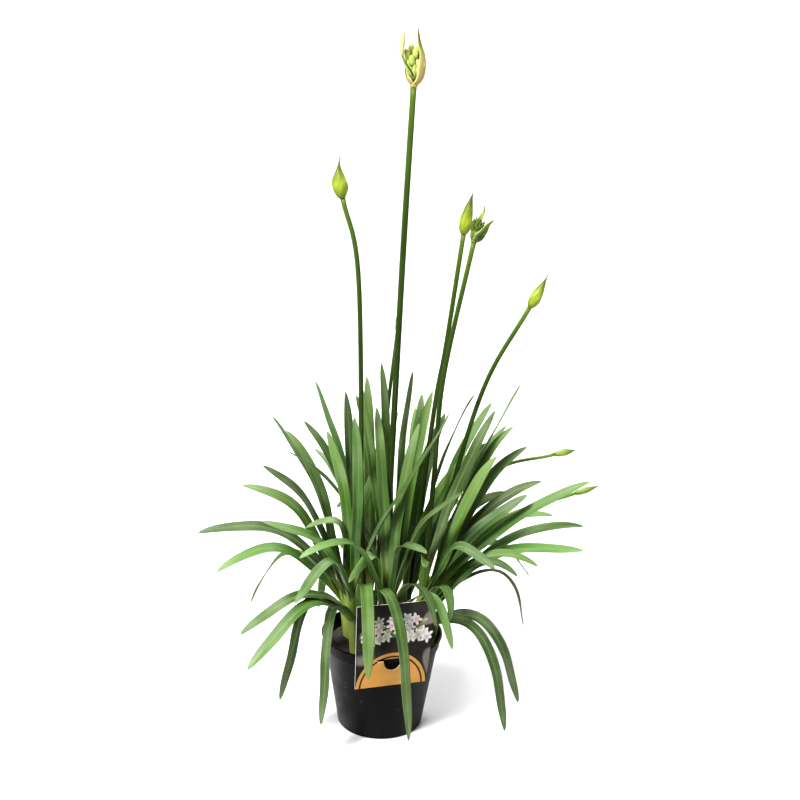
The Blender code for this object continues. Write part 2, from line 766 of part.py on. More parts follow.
def shifted(leaf, attempt, rng):
    """The same leaf with a small seeded change, larger at each attempt."""
    tip, lift, drop, arch, width, roll = leaf
    step = 0.9 * attempt
    tip = tuple(value + rng.uniform(-step, step) for value in tip)
    return (
        (tip[0], tip[1], max(tip[2], 12)),
        min(lift + rng.uniform(-step, step) * 0.35, 88),
        drop + rng.uniform(-step, step) * 0.5,
        arch + rng.uniform(-step, step) * 0.6,
        width,
        roll + rng.uniform(-step, step) * 0.6,
    )


def clear_of(shape, trees):
    if min(p[2] for p in shape[0]) < FLOOR_CLEARANCE:
        return False
    own = tree(shape)
    return not any(own.overlap(other) for other in trees)


def settle_leaves(obstacles):
    """Every shoot's leaves, each moved a little until it crosses no other piece."""
    necks = {name: tree(neck_shape(shoot)) for name, shoot in SHOOTS.items()}
    placed = {name: [] for name in SHOOTS}
    whole = {name: [] for name in SHOOTS}
    outer = {name: [] for name in SHOOTS}
    for name, shoot in SHOOTS.items():
        rng = random.Random(700 + int(name[-1]))
        count = len(shoot["leaves"]) + shoot["more"]
        others = list(obstacles) + [n for key, n in necks.items() if key != name]
        for key in SHOOTS:
            if key != name:
                others += whole[key]
        for order in range(count):
            listed = order < len(shoot["leaves"])
            leaf = shoot["leaves"][order] if listed else rule_leaf(shoot, order, count, rng)
            for attempt in range(MOST_SHIFTS):
                trial = shifted(leaf, attempt, rng) if attempt else leaf
                if not clear_of(leaf_shape(shoot, trial, order, CLEARANCE), others):
                    continue
                if clear_of(leaf_shape(shoot, trial, order, CLEARANCE, 4), outer[name]):
                    placed[name].append((trial, order))
                    whole[name].append(tree(leaf_shape(shoot, trial, order)))
                    outer[name].append(tree(leaf_shape(shoot, trial, order, 0, 4)))
                    break
            else:
                print("left out", name, order)
    return placed


def make_shoots(placed):
    for name, leaves in placed.items():
        shoot = SHOOTS[name]
        neck = make_object(name, neck_shape(shoot), "leaf")
        blades = [
            make_object("leaf", leaf_shape(shoot, leaf, order), "leaf")
            for leaf, order in leaves
        ]
        combine(neck, blades, "UNION")


def build():
    clear_scene()
    pot = make_pot()
    card = make_card()
    cutters = [make_object("cut", neck_shape(shoot, GAP), "soil") for shoot in SHOOTS.values()]
    cutters += [make_object("cut", scape_shape(name, GAP), "soil") for name in SCAPES]
    soil = make_soil(cutters)
    obstacles = []
    for name in SCAPES:
        make_object(name, scape_shape(name), "scape")
        obstacles.append(tree(scape_shape(name)))
    for name in BUDS:
        make_object(name, bud_shape(name), "spathe")
        obstacles.append(tree(bud_shape(name, 0.5)))
    for number in HEADS:
        spathe = make_spathe(number)
        make_florets(number, mesh_tree(spathe))
        obstacles.append(mesh_tree(spathe))
    obstacles += [mesh_tree(pot), mesh_tree(card), mesh_tree(soil)]
    make_shoots(settle_leaves(obstacles))
    for obj in bpy.data.objects:
        obj.data.shade_smooth()
        obj.data.set_sharp_from_angle(angle=math.radians(40))


build()
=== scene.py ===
import math
import random

import bmesh
import bpy
from mathutils import Matrix, Vector, noise


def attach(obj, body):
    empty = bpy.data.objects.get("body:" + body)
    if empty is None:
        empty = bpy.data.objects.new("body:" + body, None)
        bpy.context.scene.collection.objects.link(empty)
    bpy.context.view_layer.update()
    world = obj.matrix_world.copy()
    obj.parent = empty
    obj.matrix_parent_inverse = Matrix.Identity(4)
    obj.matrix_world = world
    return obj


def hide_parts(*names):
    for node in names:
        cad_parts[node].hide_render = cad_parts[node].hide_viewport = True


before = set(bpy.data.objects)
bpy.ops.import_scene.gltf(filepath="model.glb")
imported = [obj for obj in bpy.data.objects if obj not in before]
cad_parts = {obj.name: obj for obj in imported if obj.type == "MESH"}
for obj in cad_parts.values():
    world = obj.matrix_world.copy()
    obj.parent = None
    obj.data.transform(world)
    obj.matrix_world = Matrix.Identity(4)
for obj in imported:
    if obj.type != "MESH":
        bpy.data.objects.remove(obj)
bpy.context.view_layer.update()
bpy.ops.object.select_all(action="DESELECT")
print("stage: frame loaded")

mm = 0.001
up = Vector((0, 0, 1))
scene = bpy.context.scene


def linked(obj):
    scene.collection.objects.link(obj)
    return obj


# camera and studio: the focal length is in pixels of a picture this wide

camera = {
    "place": (-0.122, -1.258, 0.739), "pitch": 16.5, "yaw": 6.08, "roll": 1.75,
    "focal": 1290.0, "width": 800, "sensor": 36,
}
cameraData = bpy.data.cameras.new("camera")
cameraObject = linked(bpy.data.objects.new("camera", cameraData))
cameraObject.location = camera["place"]
turns = (("Z", -camera["yaw"]), ("X", 90 - camera["pitch"]), ("Z", camera["roll"]))
aim = Matrix.Identity(3)
for axis, degrees in turns:
    aim = aim @ Matrix.Rotation(math.radians(degrees), 3, axis)
cameraObject.rotation_euler = aim.to_euler()
cameraData.sensor_width = camera["sensor"]
cameraData.lens = camera["sensor"] * camera["focal"] / camera["width"]
scene.camera = cameraObject

lights = {
    "key": {"place": (-1.0, -1.3, 2.2), "aim": (0, 0, 0.3), "size": 0.8, "power": 70},
    "fill": {"place": (1.9, -1.0, 1.3), "aim": (0, 0, 0.35), "size": 1.6, "power": 3},
    "top": {"place": (0.2, 0.9, 2.3), "aim": (0, 0, 0.25), "size": 1.0, "power": 80},
}
for name, light in lights.items():
    data = bpy.data.lights.new(name, "AREA")
    data.size = light["size"]
    data.energy = light["power"]
    lamp = linked(bpy.data.objects.new(name, data))
    lamp.location = light["place"]
    away = Vector(light["aim"]) - Vector(light["place"])
    lamp.rotation_euler = away.to_track_quat("-Z", "Y").to_euler()

daylight = {"strength": 4.6, "softness": 12.0, "turn": (44.0, 0.0, -46.0)}
sunData = bpy.data.lights.new("daylight", "SUN")
sunData.energy = daylight["strength"]
sunData.angle = math.radians(daylight["softness"])
sunObject = linked(bpy.data.objects.new("daylight", sunData))
sunObject.rotation_euler = [math.radians(value) for value in daylight["turn"]]

skyLook = {"colour": (0.95, 0.97, 1.0, 1), "strength": 0.20}
sky = bpy.data.worlds.new("sky")
scene.world = sky
sky.use_nodes = True
background = sky.node_tree.nodes["Background"]
background.inputs["Color"].default_value = skyLook["colour"]
background.inputs["Strength"].default_value = skyLook["strength"]
scene.view_settings.view_transform = "Standard"
scene.view_settings.look = "Medium High Contrast"
print("stage: camera and lights")


# node helpers

def newMaterial(name, rough, specular=0.5):
    made = bpy.data.materials.new(name)
    made.use_nodes = True
    tree = made.node_tree
    shader = tree.nodes["Principled BSDF"]
    shader.inputs["Roughness"].default_value = rough
    shader.inputs["Specular IOR Level"].default_value = specular
    return made, tree, shader


def paint(tree, shader, value, part="Base Color"):
    tree.links.new(value, shader.inputs[part])


def addNode(tree, kind, **values):
    node = tree.nodes.new(kind)
    for key, value in values.items():
        setattr(node, key, value)
    return node


def attribute(tree, name, part="Fac"):
    return addNode(tree, "ShaderNodeAttribute", attribute_name=name).outputs[part]


def uvParts(tree):
    node = addNode(tree, "ShaderNodeUVMap", uv_map="UVMap")
    split = addNode(tree, "ShaderNodeSeparateXYZ")
    tree.links.new(node.outputs["UV"], split.inputs[0])
    return split.outputs["X"], split.outputs["Y"]


def feed(tree, socket, value):
    if isinstance(value, bpy.types.NodeSocket):
        tree.links.new(value, socket)
    else:
        socket.default_value = value


def maths(tree, operation, a, b=0.0):
    node = addNode(tree, "ShaderNodeMath", operation=operation)
    feed(tree, node.inputs[0], a)
    feed(tree, node.inputs[1], b)
    return node.outputs[0]


def ramp(tree, value, stops):
    node = addNode(tree, "ShaderNodeValToRGB")
    bar = node.color_ramp
    while len(bar.elements) < len(stops):
        bar.elements.new(0.5)
    for element, (place, colour) in zip(bar.elements, stops):
        element.position = place
        element.color = (*colour, 1)
    feed(tree, node.inputs["Fac"], value)
    return node.outputs["Color"]


def greyRamp(tree, value, low, high, lowValue=0.0, highValue=1.0):
    node = addNode(tree, "ShaderNodeMapRange", clamp=True, interpolation_type="SMOOTHSTEP")
    feed(tree, node.inputs["Value"], value)
    ends = {"From Min": low, "From Max": high, "To Min": lowValue, "To Max": highValue}
    for key, number in ends.items():
        node.inputs[key].default_value = number
    return node.outputs["Result"]


def mixColour(tree, share, a, b):
    node = addNode(tree, "ShaderNodeMix", data_type="RGBA")
    feed(tree, node.inputs["Factor"], share)
    for socket, value in ((node.inputs[6], a), (node.inputs[7], b)):
        feed(tree, socket, (*value, 1) if isinstance(value, tuple) else value)
    return node.outputs[2]


def tint(tree, body, value, low, high, share, colour):
    # brings the colour in where the value rises from low to high, at most by the share
    return mixColour(tree, greyRamp(tree, value, low, high, 0.0, share), body, colour)


def wash(tree, body, value, share, colour):
    return mixColour(tree, maths(tree, "MULTIPLY", value, share), body, colour)


def noiseValue(tree, scale, detail=3.0, stretch=(1, 1, 1), source="Object", rough=0.5):
    if source == "UV":
        place = addNode(tree, "ShaderNodeUVMap", uv_map="UVMap").outputs["UV"]
    else:
        place = addNode(tree, "ShaderNodeTexCoord").outputs[source]
    mapping = addNode(tree, "ShaderNodeMapping")
    mapping.inputs["Scale"].default_value = stretch
    tree.links.new(place, mapping.inputs["Vector"])
    node = addNode(tree, "ShaderNodeTexNoise")
    node.inputs["Scale"].default_value = scale
    node.inputs["Detail"].default_value = detail
    node.inputs["Roughness"].default_value = rough
    tree.links.new(mapping.outputs["Vector"], node.inputs["Vector"])
    return node.outputs["Fac"]


def addBump(tree, shader, height, strength, distance):
    node = addNode(tree, "ShaderNodeBump")
    node.inputs["Strength"].default_value = strength
    node.inputs["Distance"].default_value = distance
    feed(tree, node.inputs["Height"], height)
    tree.links.new(node.outputs["Normal"], shader.inputs["Normal"])


# plant materials: u runs across a blade or round a stem, v from its foot to its tip

leafLook = {
    # low is painted shade: it darkens the blades low in the clump, where they stand in shade
    "foot": (0.20, 0.235, 0.042), "sheath": (0.115, 0.165, 0.018), "low": (0.014, 0.045, 0.0016),
    # tip is paler and cooler than the blade: partly the leaf's own colour, partly painted sheen
    "blade": (0.025, 0.066, 0.0060), "tip": (0.064, 0.108, 0.033),
    # paleMottle is a pale, cool green laid on the blades in streaks and patches: painted sheen
    "dry": (0.045, 0.066, 0.009), "under": (0.052, 0.108, 0.017), "paleMottle": (0.20, 0.26, 0.14),
    "rib": (0.13, 0.21, 0.05), "rim": (0.16, 0.25, 0.07),
}


def makeLeafMaterial():
    made, tree, shader = newMaterial("leafGreen", 0.42, 0.18)
    u, v = uvParts(tree)
    # the dark stop at 0.27 (low) is painted shade over the lower, inner part of the clump
    body = ramp(tree, v, [
        (0.0, leafLook["foot"]), (0.12, leafLook["sheath"]), (0.27, leafLook["low"]),
        # towards the tip the blade turns paler and cooler, partly painted sheen
        (0.60, leafLook["blade"]), (1.0, leafLook["tip"])])
    body = wash(tree, body, attribute(tree, "under"), 0.65, leafLook["under"])
    node = addNode(tree, "ShaderNodeHueSaturation")
    tree.links.new(body, node.inputs["Color"])
    light = greyRamp(tree, attribute(tree, "shade"), 0.0, 1.0, 0.50, 1.55)
    tree.links.new(light, node.inputs["Value"])
    hue = greyRamp(tree, attribute(tree, "hue"), 0.0, 1.0, 0.485, 0.508)
    tree.links.new(hue, node.inputs["Hue"])
    # the streaks follow the veins, but their pale colour, like that of the patches below, is painted sheen
    veins = noiseValue(tree, 1.0, 2.0, (58, 1.2, 1), "UV")
    body = tint(tree, node.outputs["Color"], veins, 0.47, 0.63, 0.40, leafLook["paleMottle"])
    patch = noiseValue(tree, 26.0, 3.0)
    body = tint(tree, body, patch, 0.46, 0.74, 0.26, leafLook["paleMottle"])
    fromRib = maths(tree, "ABSOLUTE", maths(tree, "SUBTRACT", u, 0.5))
    body = wash(tree, body, greyRamp(tree, fromRib, 0.01, 0.10, 1.0, 0.0), 0.34, leafLook["rib"])
    body = wash(tree, body, greyRamp(tree, fromRib, 0.44, 0.50), 0.35, leafLook["rim"])
    dry = maths(tree, "MULTIPLY", attribute(tree, "dry"), greyRamp(tree, v, 0.35, 0.9))
    body = mixColour(tree, dry, body, leafLook["dry"])
    paint(tree, shader, body)
    paint(tree, shader, greyRamp(tree, patch, 0.3, 0.7, 0.34, 0.52), "Roughness")
    addBump(tree, shader, noiseValue(tree, 1.0, 1.0, (70, 1.0, 1), "UV"), 0.35, 0.0003)
    return made


def makeScapeMaterial():
    made, tree, shader = newMaterial("scapeGreen", 0.40, 0.12)
    body = ramp(tree, uvParts(tree)[1], [
        (0.0, (0.06, 0.085, 0.015)), (0.25, (0.008, 0.018, 0.0012)), (0.7, (0.013, 0.029, 0.0020)),
        (0.92, (0.032, 0.064, 0.006)), (1.0, (0.070, 0.11, 0.012))])
    body = wash(tree, body, attribute(tree, "young"), 0.7, (0.10, 0.155, 0.030))
    streak = noiseValue(tree, 1.0, 2.0, (14, 5, 1), "UV")
    body = tint(tree, body, streak, 0.45, 0.72, 0.35, (0.050, 0.085, 0.010))
    paleMottle = noiseValue(tree, 60.0, 3.0, (1, 1, 0.3))
    body = tint(tree, body, paleMottle, 0.45, 0.75, 0.20, (0.070, 0.110, 0.025))
    paint(tree, shader, body)
    addBump(tree, shader, streak, 0.25, 0.0003)
    return made


def makeSpatheMaterial(name, stops, streakColour, edge=None):
    made, tree, shader = newMaterial(name, 0.46, 0.18)
    body = ramp(tree, uvParts(tree)[1], stops)
    streak = noiseValue(tree, 1.0, 2.0, (13, 1.3, 1), "UV")
    body = tint(tree, body, streak, 0.44, 0.72, 0.55, streakColour)
    blotch = noiseValue(tree, 170.0, 3.0)
    body = tint(tree, body, blotch, 0.45, 0.75, 0.30, (0.29, 0.32, 0.055))
    body = wash(tree, body, attribute(tree, "keel"), 0.72, (0.035, 0.055, 0.006))
    if edge:
        body = mixColour(tree, attribute(tree, "rim"), body, edge)
    paint(tree, shader, body)
    addBump(tree, shader, streak, 0.4, 0.0004)
    return made


def makeFloretMaterial():
    made, tree, shader = newMaterial("floretCream", 0.42, 0.20)
    v = uvParts(tree)[1]
    body = ramp(tree, v, [
        (0.0, (0.030, 0.058, 0.005)), (0.40, (0.050, 0.085, 0.008)), (0.55, (0.15, 0.19, 0.025)),
        (0.78, (0.34, 0.39, 0.115)), (1.0, (0.26, 0.31, 0.070))])
    pale = maths(tree, "MULTIPLY", attribute(tree, "pale"), greyRamp(tree, v, 0.52, 0.62))
    body = mixColour(tree, pale, body, (0.44, 0.44, 0.21))
    seam = noiseValue(tree, 1.0, 1.0, (9, 1, 1), "UV")
    body = tint(tree, body, seam, 0.5, 0.75, 0.35, (0.20, 0.26, 0.035))
    paint(tree, shader, body)
    shader.inputs["Subsurface Weight"].default_value = 0.08
    shader.inputs["Subsurface Radius"].default_value = (0.004, 0.003, 0.001)
    return made


leafMaterial = makeLeafMaterial()
scapeMaterial = makeScapeMaterial()
budMaterial = makeSpatheMaterial("spatheLime", [
    (0.0, (0.09, 0.13, 0.008)), (0.12, (0.15, 0.20, 0.014)), (0.32, (0.215, 0.26, 0.028)),
    (0.56, (0.11, 0.15, 0.011)), (0.74, (0.045, 0.068, 0.005)), (1.0, (0.012, 0.018, 0.003))],
    (0.10, 0.14, 0.007))
youngSpatheMaterial = makeSpatheMaterial("spatheYoung", [
    (0.0, (0.09, 0.14, 0.018)), (0.25, (0.17, 0.235, 0.060)), (0.60, (0.11, 0.155, 0.028)),
    (1.0, (0.022, 0.030, 0.006))],
    (0.06, 0.09, 0.010))
greenSpatheMaterial = makeSpatheMaterial("spatheGreen", [
    (0.0, (0.055, 0.10, 0.016)), (0.30, (0.018, 0.042, 0.004)), (0.55, (0.040, 0.078, 0.006)),
    (0.80, (0.15, 0.19, 0.015)), (1.0, (0.035, 0.050, 0.005))],
    (0.060, 0.10, 0.010), (0.26, 0.31, 0.11))
paperSpatheMaterial = makeSpatheMaterial("spathePaper", [
    (0.0, (0.24, 0.21, 0.055)), (0.22, (0.33, 0.27, 0.085)), (0.48, (0.32, 0.24, 0.095)),
    (0.58, (0.19, 0.21, 0.030)), (0.74, (0.050, 0.072, 0.007)), (1.0, (0.010, 0.017, 0.003))],
    (0.22, 0.13, 0.035), (0.46, 0.42, 0.22))
floretMaterial = makeFloretMaterial()
print("stage: plant materials")


# curves and blades, in millimetres

def even(count):
    return [i / (count - 1) for i in range(count)]


def between(a, b, angle):
    return a * math.cos(angle) + b * math.sin(angle)


def resample(points, stations):
    along = [0.0]
    for a, b in zip(points, points[1:]):
        along.append(along[-1] + (b - a).length)
    out = []
    i = 0
    for station in stations:
        want = station * along[-1]
        while i < len(points) - 2 and along[i + 1] < want:
            i += 1
        part = (want - along[i]) / max(along[i + 1] - along[i], 1e-9)
        out.append(points[i].lerp(points[i + 1], min(part, 1.0)))
    return out


def smoothCurve(knots, stations):
    knots = [Vector(k) for k in knots]
    knots = [knots[0] * 2 - knots[1]] + knots + [knots[-1] * 2 - knots[-2]]
    fine = []
    for a, b, c, d in zip(knots, knots[1:], knots[2:], knots[3:]):
        for t in even(17):
            fine.append(0.5 * (
                b * 2 + (c - a) * t + (a * 2 - b * 5 + c * 4 - d) * t**2
                + (b * 3 - a - c * 3 + d) * t**3))
    return resample(fine, stations)


def leafCurve(root, leaf, stations):
    tip, lift, drop, arch = leaf[:4]
    root, tip = Vector(root), Vector(tip)
    heading = Vector((tip.x - root.x, tip.y - root.y, 0)).normalized()
    rise, fall = math.radians(lift), math.radians(drop)
    first = root + between(heading, up, rise) * arch
    second = tip - between(heading, up, fall) * arch * 0.9
    fine = []
    for t in even(97):
        w = 1 - t
        fine.append(root * w**3 + first * 3 * w * w * t + second * 3 * w * t * t + tip * t**3)
    return resample(fine, stations), up.cross(heading)


def frames(path, side):
    out = []
    for i, point in enumerate(path):
        ahead = path[min(i + 1, len(path) - 1)] - path[max(i - 1, 0)]
        tangent = ahead.normalized()
        side = (side - tangent * side.dot(tangent)).normalized()
        out.append((point, side, tangent.cross(side)))
    return out


class Shape:
    # points, faces and the values that its materials read

    def __init__(self):
        self.points, self.faces, self.uv, self.marks = [], [], [], {}

    def add(self, point, u, v, **marks):
        self.points.append(point)
        self.uv.append((u, v))
        for key, value in marks.items():
            column = self.marks.setdefault(key, [])
            column.extend([0.0] * (len(self.points) - 1 - len(column)))
            column.append(value)
        return len(self.points) - 1

    def piece(self, name, material):
        mesh = bpy.data.meshes.new(name)
        mesh.from_pydata([p * mm for p in self.points], [], self.faces)
        layer = mesh.uv_layers.new(name="UVMap")
        for loop in mesh.loops:
            layer.data[loop.index].uv = self.uv[loop.vertex_index]
        for key, column in self.marks.items():
            column.extend([0.0] * (len(self.points) - len(column)))
            mesh.attributes.new(key, "FLOAT", "POINT").data.foreach_set("value", column)
        bm = bmesh.new()
        bm.from_mesh(mesh)
        bmesh.ops.recalc_face_normals(bm, faces=bm.faces)
        bm.to_mesh(mesh)
        bm.free()
        mesh.shade_smooth()
        mesh.materials.append(material)
        return linked(bpy.data.objects.new(name, mesh))


def leafWidth(s):
    root = min(s / 0.4, 1.0)
    tip = max(0.0, (s - 0.66) / 0.34)
    return (0.66 + 0.34 * root * (2 - root)) * max(1 - tip**2.9, 0.0) ** 0.62


def skin(shape, rings):
    # walls between the rings, and a face at each end
    for low, high in zip(rings, rings[1:]):
        for k in range(len(low)):
            n = (k + 1) % len(low)
            shape.faces.append((low[k], low[n], high[n], high[k]))
    shape.faces.append(tuple(reversed(rings[0])))
    shape.faces.append(tuple(rings[-1]))


acrossPlaces = (-1, -0.82, -0.5, -0.18, 0, 0.18, 0.5, 0.82, 1)


def addBlade(shape, path, side, stations, width, thick, channel, roll, outline, marks, wave=0.0, phase=0.0):
    # a closed strap: nine points across the upper face, seven across the under one
    rings = []
    for s, (point, across, face) in zip(stations, frames(path, side)):
        turn = math.radians(roll * min(1.0, s / 0.45))
        sideWay = between(across, face, turn)
        upWay = face * math.cos(turn) - across * math.sin(turn)
        half = max(width * outline(s) / 2, 0.25)
        ring = []
        for under, places in ((0.0, acrossPlaces), (1.0, acrossPlaces[-2:0:-1])):
            for a in places:
                lift = half * channel * (1 - 0.6 * s) * abs(a) ** 1.4
                lift += wave * a * math.sin(s * 17 + phase + a * 1.3) * min(1.0, s * 3) * (half / width * 2)
                body = thick * (0.5 - 0.26 * abs(a)) * min(1.0, half / 2)
                if under:
                    height = lift - body * (1.25 if a == 0 else 1.0)
                else:
                    height = lift + body - (0.16 * thick if a == 0 else 0.0)
                place = point + sideWay * half * -a + upWay * height
                ring.append(shape.add(place, a * 0.5 + 0.5, s, under=under, **marks))
        rings.append(ring)
    skin(shape, rings)


def addTube(
        shape, path, radii, sides, side=Vector((1, 0, 0)), squash=1.0, ripple=None, marks=None, places=None):
    rings = []
    stations = places or even(len(path))
    for (point, across, face), radius, v in zip(frames(path, side), radii, stations):
        ring = []
        for k in range(sides):
            angle = 2 * math.pi * k / sides
            grow, extra = ripple(angle, v) if ripple else (1.0, {})
            place = point + across * radius * grow * math.cos(angle)
            place += face * radius * grow * squash * math.sin(angle)
            u = abs(k / sides * 2 - 1)
            ring.append(shape.add(place, u, v, **(marks or {}), **extra))
        rings.append(ring)
    skin(shape, rings)


def dress(piece, slot, *nodes):
    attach(piece, "root")
    if nodes:
        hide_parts(*nodes)
    return piece


# leafy shoots: foot, lean of the neck, azimuth of the fan, half widths of the neck, leaves
# a leaf: tip, lift, drop, arch, width, roll; nudges say how often each was shifted to clear its
# neighbours, and a leaf with a negative one fits nowhere and is left out

soilTop = 91.0
neck = {
    "length": 66.0, "buried": 13.0, "sides": 30, "rings": 22,
    "steps": (0, 0.3, 0.6, 0.85, 1), "sizes": (0.9, 1.0, 0.94, 0.9, 0.66, 0.3),
}
# first and step place the roots of the leaves up the neck; a leaf below the narrow width is dry
blade = {
    "thick": 1.3, "channel": 0.34, "rings": 34, "wave": 0.9, "first": 14, "step": 4.5,
    "narrow": 7,
}
shoots = {
    "shoot_1": {
        "foot": (-27, -20), "lean": (-0.10, -0.12), "fan": 200, "neck": (9, 6.5),
        "leaves": (
            ((20, -106, 34), 70, -84, 150, 12.5, 0), ((-22, -98, 100), 70, -84, 122, 13, 0),
            ((-150, -72, 139), 58, -32, 84, 12, -25), ((-140, -84, 112), 52, -42, 88, 13.5, -24),
            ((-68, -82, 41), 48, -78, 112, 12.5, 10), ((-110, -52, 53), 50, -72, 104, 12, -25),
            ((-84, -28, 236), 66, -24, 80, 10.5, -25), ((-62, 4, 330), 80, 62, 90, 12, -31),
            ((-118, -30, 250), 70, 12, 80, 12, -31), ((-36, -20, 352), 86, 76, 90, 12, -10),
            ((-96, -104, 188), 62, -30, 84, 12, -12),
        ),
        "more": 1, "nudges": {3: 5, 8: 12},
    },
    "shoot_2": {
        "foot": (4, -24), "lean": (-0.02, -0.14), "fan": 250, "neck": (8.5, 6.5),
        "leaves": (
            ((62, -98, 132), 64, -70, 88, 11.5, 6), ((-62, -88, 176), 64, -38, 84, 11.5, -19),
            ((22, -14, 349), 84, 74, 90, 12.5, 8), ((-8, 26, 352), 84, 70, 84, 12, 0),
            ((44, -104, 160), 66, -62, 72, 10.5, -8), ((72, -62, 286), 76, 36, 84, 12.5, 19),
            ((-92, -92, 214), 62, -12, 80, 12.5, -22), ((34, -88, 232), 72, 0, 78, 12, 14),
        ),
        "more": 1, "nudges": {1: 24, 2: 14, 3: 3, 6: 42},
    },
    "shoot_3": {
        "foot": (33, -17), "lean": (0.12, -0.06), "fan": -20, "neck": (9.5, 6.5),
        "leaves": (
            ((144, -46, 40), 42, -74, 96, 13, 35), ((127, -66, 18), 38, -80, 96, 12, 35),
            ((137, -38, 183), 52, -46, 66, 11, 30), ((162, -22, 187), 54, -36, 74, 11, 30),
            ((112, -18, 309), 66, 52, 72, 15, 37), ((64, -68, 150), 60, -82, 60, 11, 0),
            ((206, -6, 206), 54, -12, 92, 12, 35), ((213, -14, 279), 56, 20, 80, 12, 35),
            ((146, -22, 268), 62, 34, 80, 13, 37), ((104, -84, 212), 58, -24, 82, 12.5, 24),
            ((-6, -66, 262), 66, 22, 80, 12, -24),
        ),
        "more": 1, "nudges": {6: 11, 10: 43, 11: 36},
    },
    "shoot_4": {
        "foot": (45, 15), "lean": (0.14, 0.04), "fan": 12, "neck": (9, 6),
        "leaves": (
            ((220, 22, 214), 52, -8, 92, 11, 35), ((188, 34, 222), 58, -16, 82, 10.5, 35),
            ((132, 4, 334), 68, 44, 80, 13, 37), ((152, 22, 306), 64, 30, 80, 13, 37),
            ((137, 44, 246), 64, 2, 76, 11, 35), ((152, -12, 114), 40, -80, 92, 6, 10),
            ((176, 78, 130), 48, -54, 96, 12, 19), ((168, 40, 262), 62, 12, 84, 12, 35),
        ),
        "more": 1, "nudges": {7: 17, 8: 8},
    },
    "shoot_5": {
        "foot": (10, 13), "lean": (0.02, 0.04), "fan": 60, "neck": (8.5, 6.5),
        "leaves": (
            ((-5, 36, 394), 84, 80, 96, 12.5, 0), ((28, 30, 387), 84, 78, 96, 12.5, -16),
            ((51, 42, 362), 80, 70, 96, 12.5, 25), ((86, 48, 344), 76, 56, 84, 12.5, 35),
            ((-30, 46, 356), 80, 66, 84, 12.5, -19), ((98, 24, 300), 72, 42, 84, 12.5, 37),
        ),
        "more": 2, "nudges": {3: 24, 5: 21, 6: 26, 7: -69},
    },
    "shoot_6": {
        "foot": (-32, 18), "lean": (-0.14, 0.03), "fan": 160, "neck": (9, 6.5),
        "leaves": (
            ((-42, 32, 364), 84, 76, 96, 12, -12), ((-104, 30, 322), 72, 46, 84, 13, -35),
            ((-150, 44, 256), 62, 4, 92, 12.5, -35), ((-176, 8, 172), 54, -36, 92, 12.5, -31),
            ((-142, 92, 96), 48, -66, 100, 12, -19), ((-128, -6, 296), 68, 34, 88, 13, -35),
            ((-196, 30, 208), 56, -14, 96, 12.5, -35),
        ),
        "more": 2, "nudges": {8: 24},
    },
    "shoot_7": {
        "foot": (-10, 41), "lean": (-0.05, 0.14), "fan": 105, "neck": (9, 6.5),
        "leaves": (
            ((-16, 84, 366), 80, 68, 92, 12.5, 0), ((-70, 130, 268), 66, 16, 92, 12.5, 8),
            ((-40, 176, 178), 56, -36, 96, 12, 0), ((-62, 148, 62), 46, -76, 112, 12.5, 0),
            ((14, 146, 58), 44, -78, 112, 12.5, 0), ((-84, 70, 320), 74, 48, 92, 12.5, -25),
        ),
        "more": 2, "nudges": {},
    },
    "shoot_8": {
        "foot": (27, 37), "lean": (0.08, 0.12), "fan": 55, "neck": (9, 6),
        "leaves": (
            ((117, 52, 346), 72, 54, 88, 13, 31), ((127, 40, 330), 70, 46, 84, 13, 31),
            ((72, 128, 296), 70, 34, 92, 12.5, 12), ((110, 138, 196), 56, -24, 96, 12.5, 12),
            ((96, 142, 64), 44, -74, 108, 12, 0), ((46, 92, 344), 78, 62, 92, 12.5, 12),
        ),
        "more": 2, "nudges": {1: 6, 7: 24},
    },
}


def neckPoint(shoot, height):
    x, y = shoot["foot"]
    leanX, leanY = shoot["lean"]
    return Vector((x + leanX * height, y + leanY * height, soilTop + 2 + height))


def ruleLeaf(shoot, order, count, rng):
    inner = (order + rng.uniform(0.1, 0.9)) / count
    fan = math.radians(shoot["fan"] + (180 if rng.random() < 0.3 else 0) + rng.gauss(0, 34))
    reach = 168 - 92 * inner + rng.uniform(-14, 14)
    height = -40 + 290 * inner + rng.uniform(-20, 20)
    foot = neckPoint(shoot, 30)
    tip = (
        foot.x + reach * math.cos(fan),
        foot.y + reach * math.sin(fan),
        max(foot.z + height, 14),
    )
    lift = 48 + 34 * inner
    drop = -78 + 150 * inner
    return tip, lift, drop, 96 - 10 * inner, rng.uniform(10, 12.5), rng.uniform(-16, 16)


def shifted(leaf, attempt, rng):
    tip, lift, drop, arch, width, roll = leaf
    step = 0.9 * attempt
    tip = tuple(value + rng.uniform(-step, step) for value in tip)
    return (
        (tip[0], tip[1], max(tip[2], 12)),
        min(lift + rng.uniform(-step, step) * 0.35, 88),
        drop + rng.uniform(-step, step) * 0.5,
        arch + rng.uniform(-step, step) * 0.6,
        width,
        roll + rng.uniform(-step, step) * 0.6,
    )


def neckRipple(angle, v):
    # the edges of the sheaths that wrap round each other
    fold = math.cos(2 * angle + 3 * v) * 0.035 + math.cos(7 * angle) * 0.022 * (1 - v)
    return 1 + fold, {}


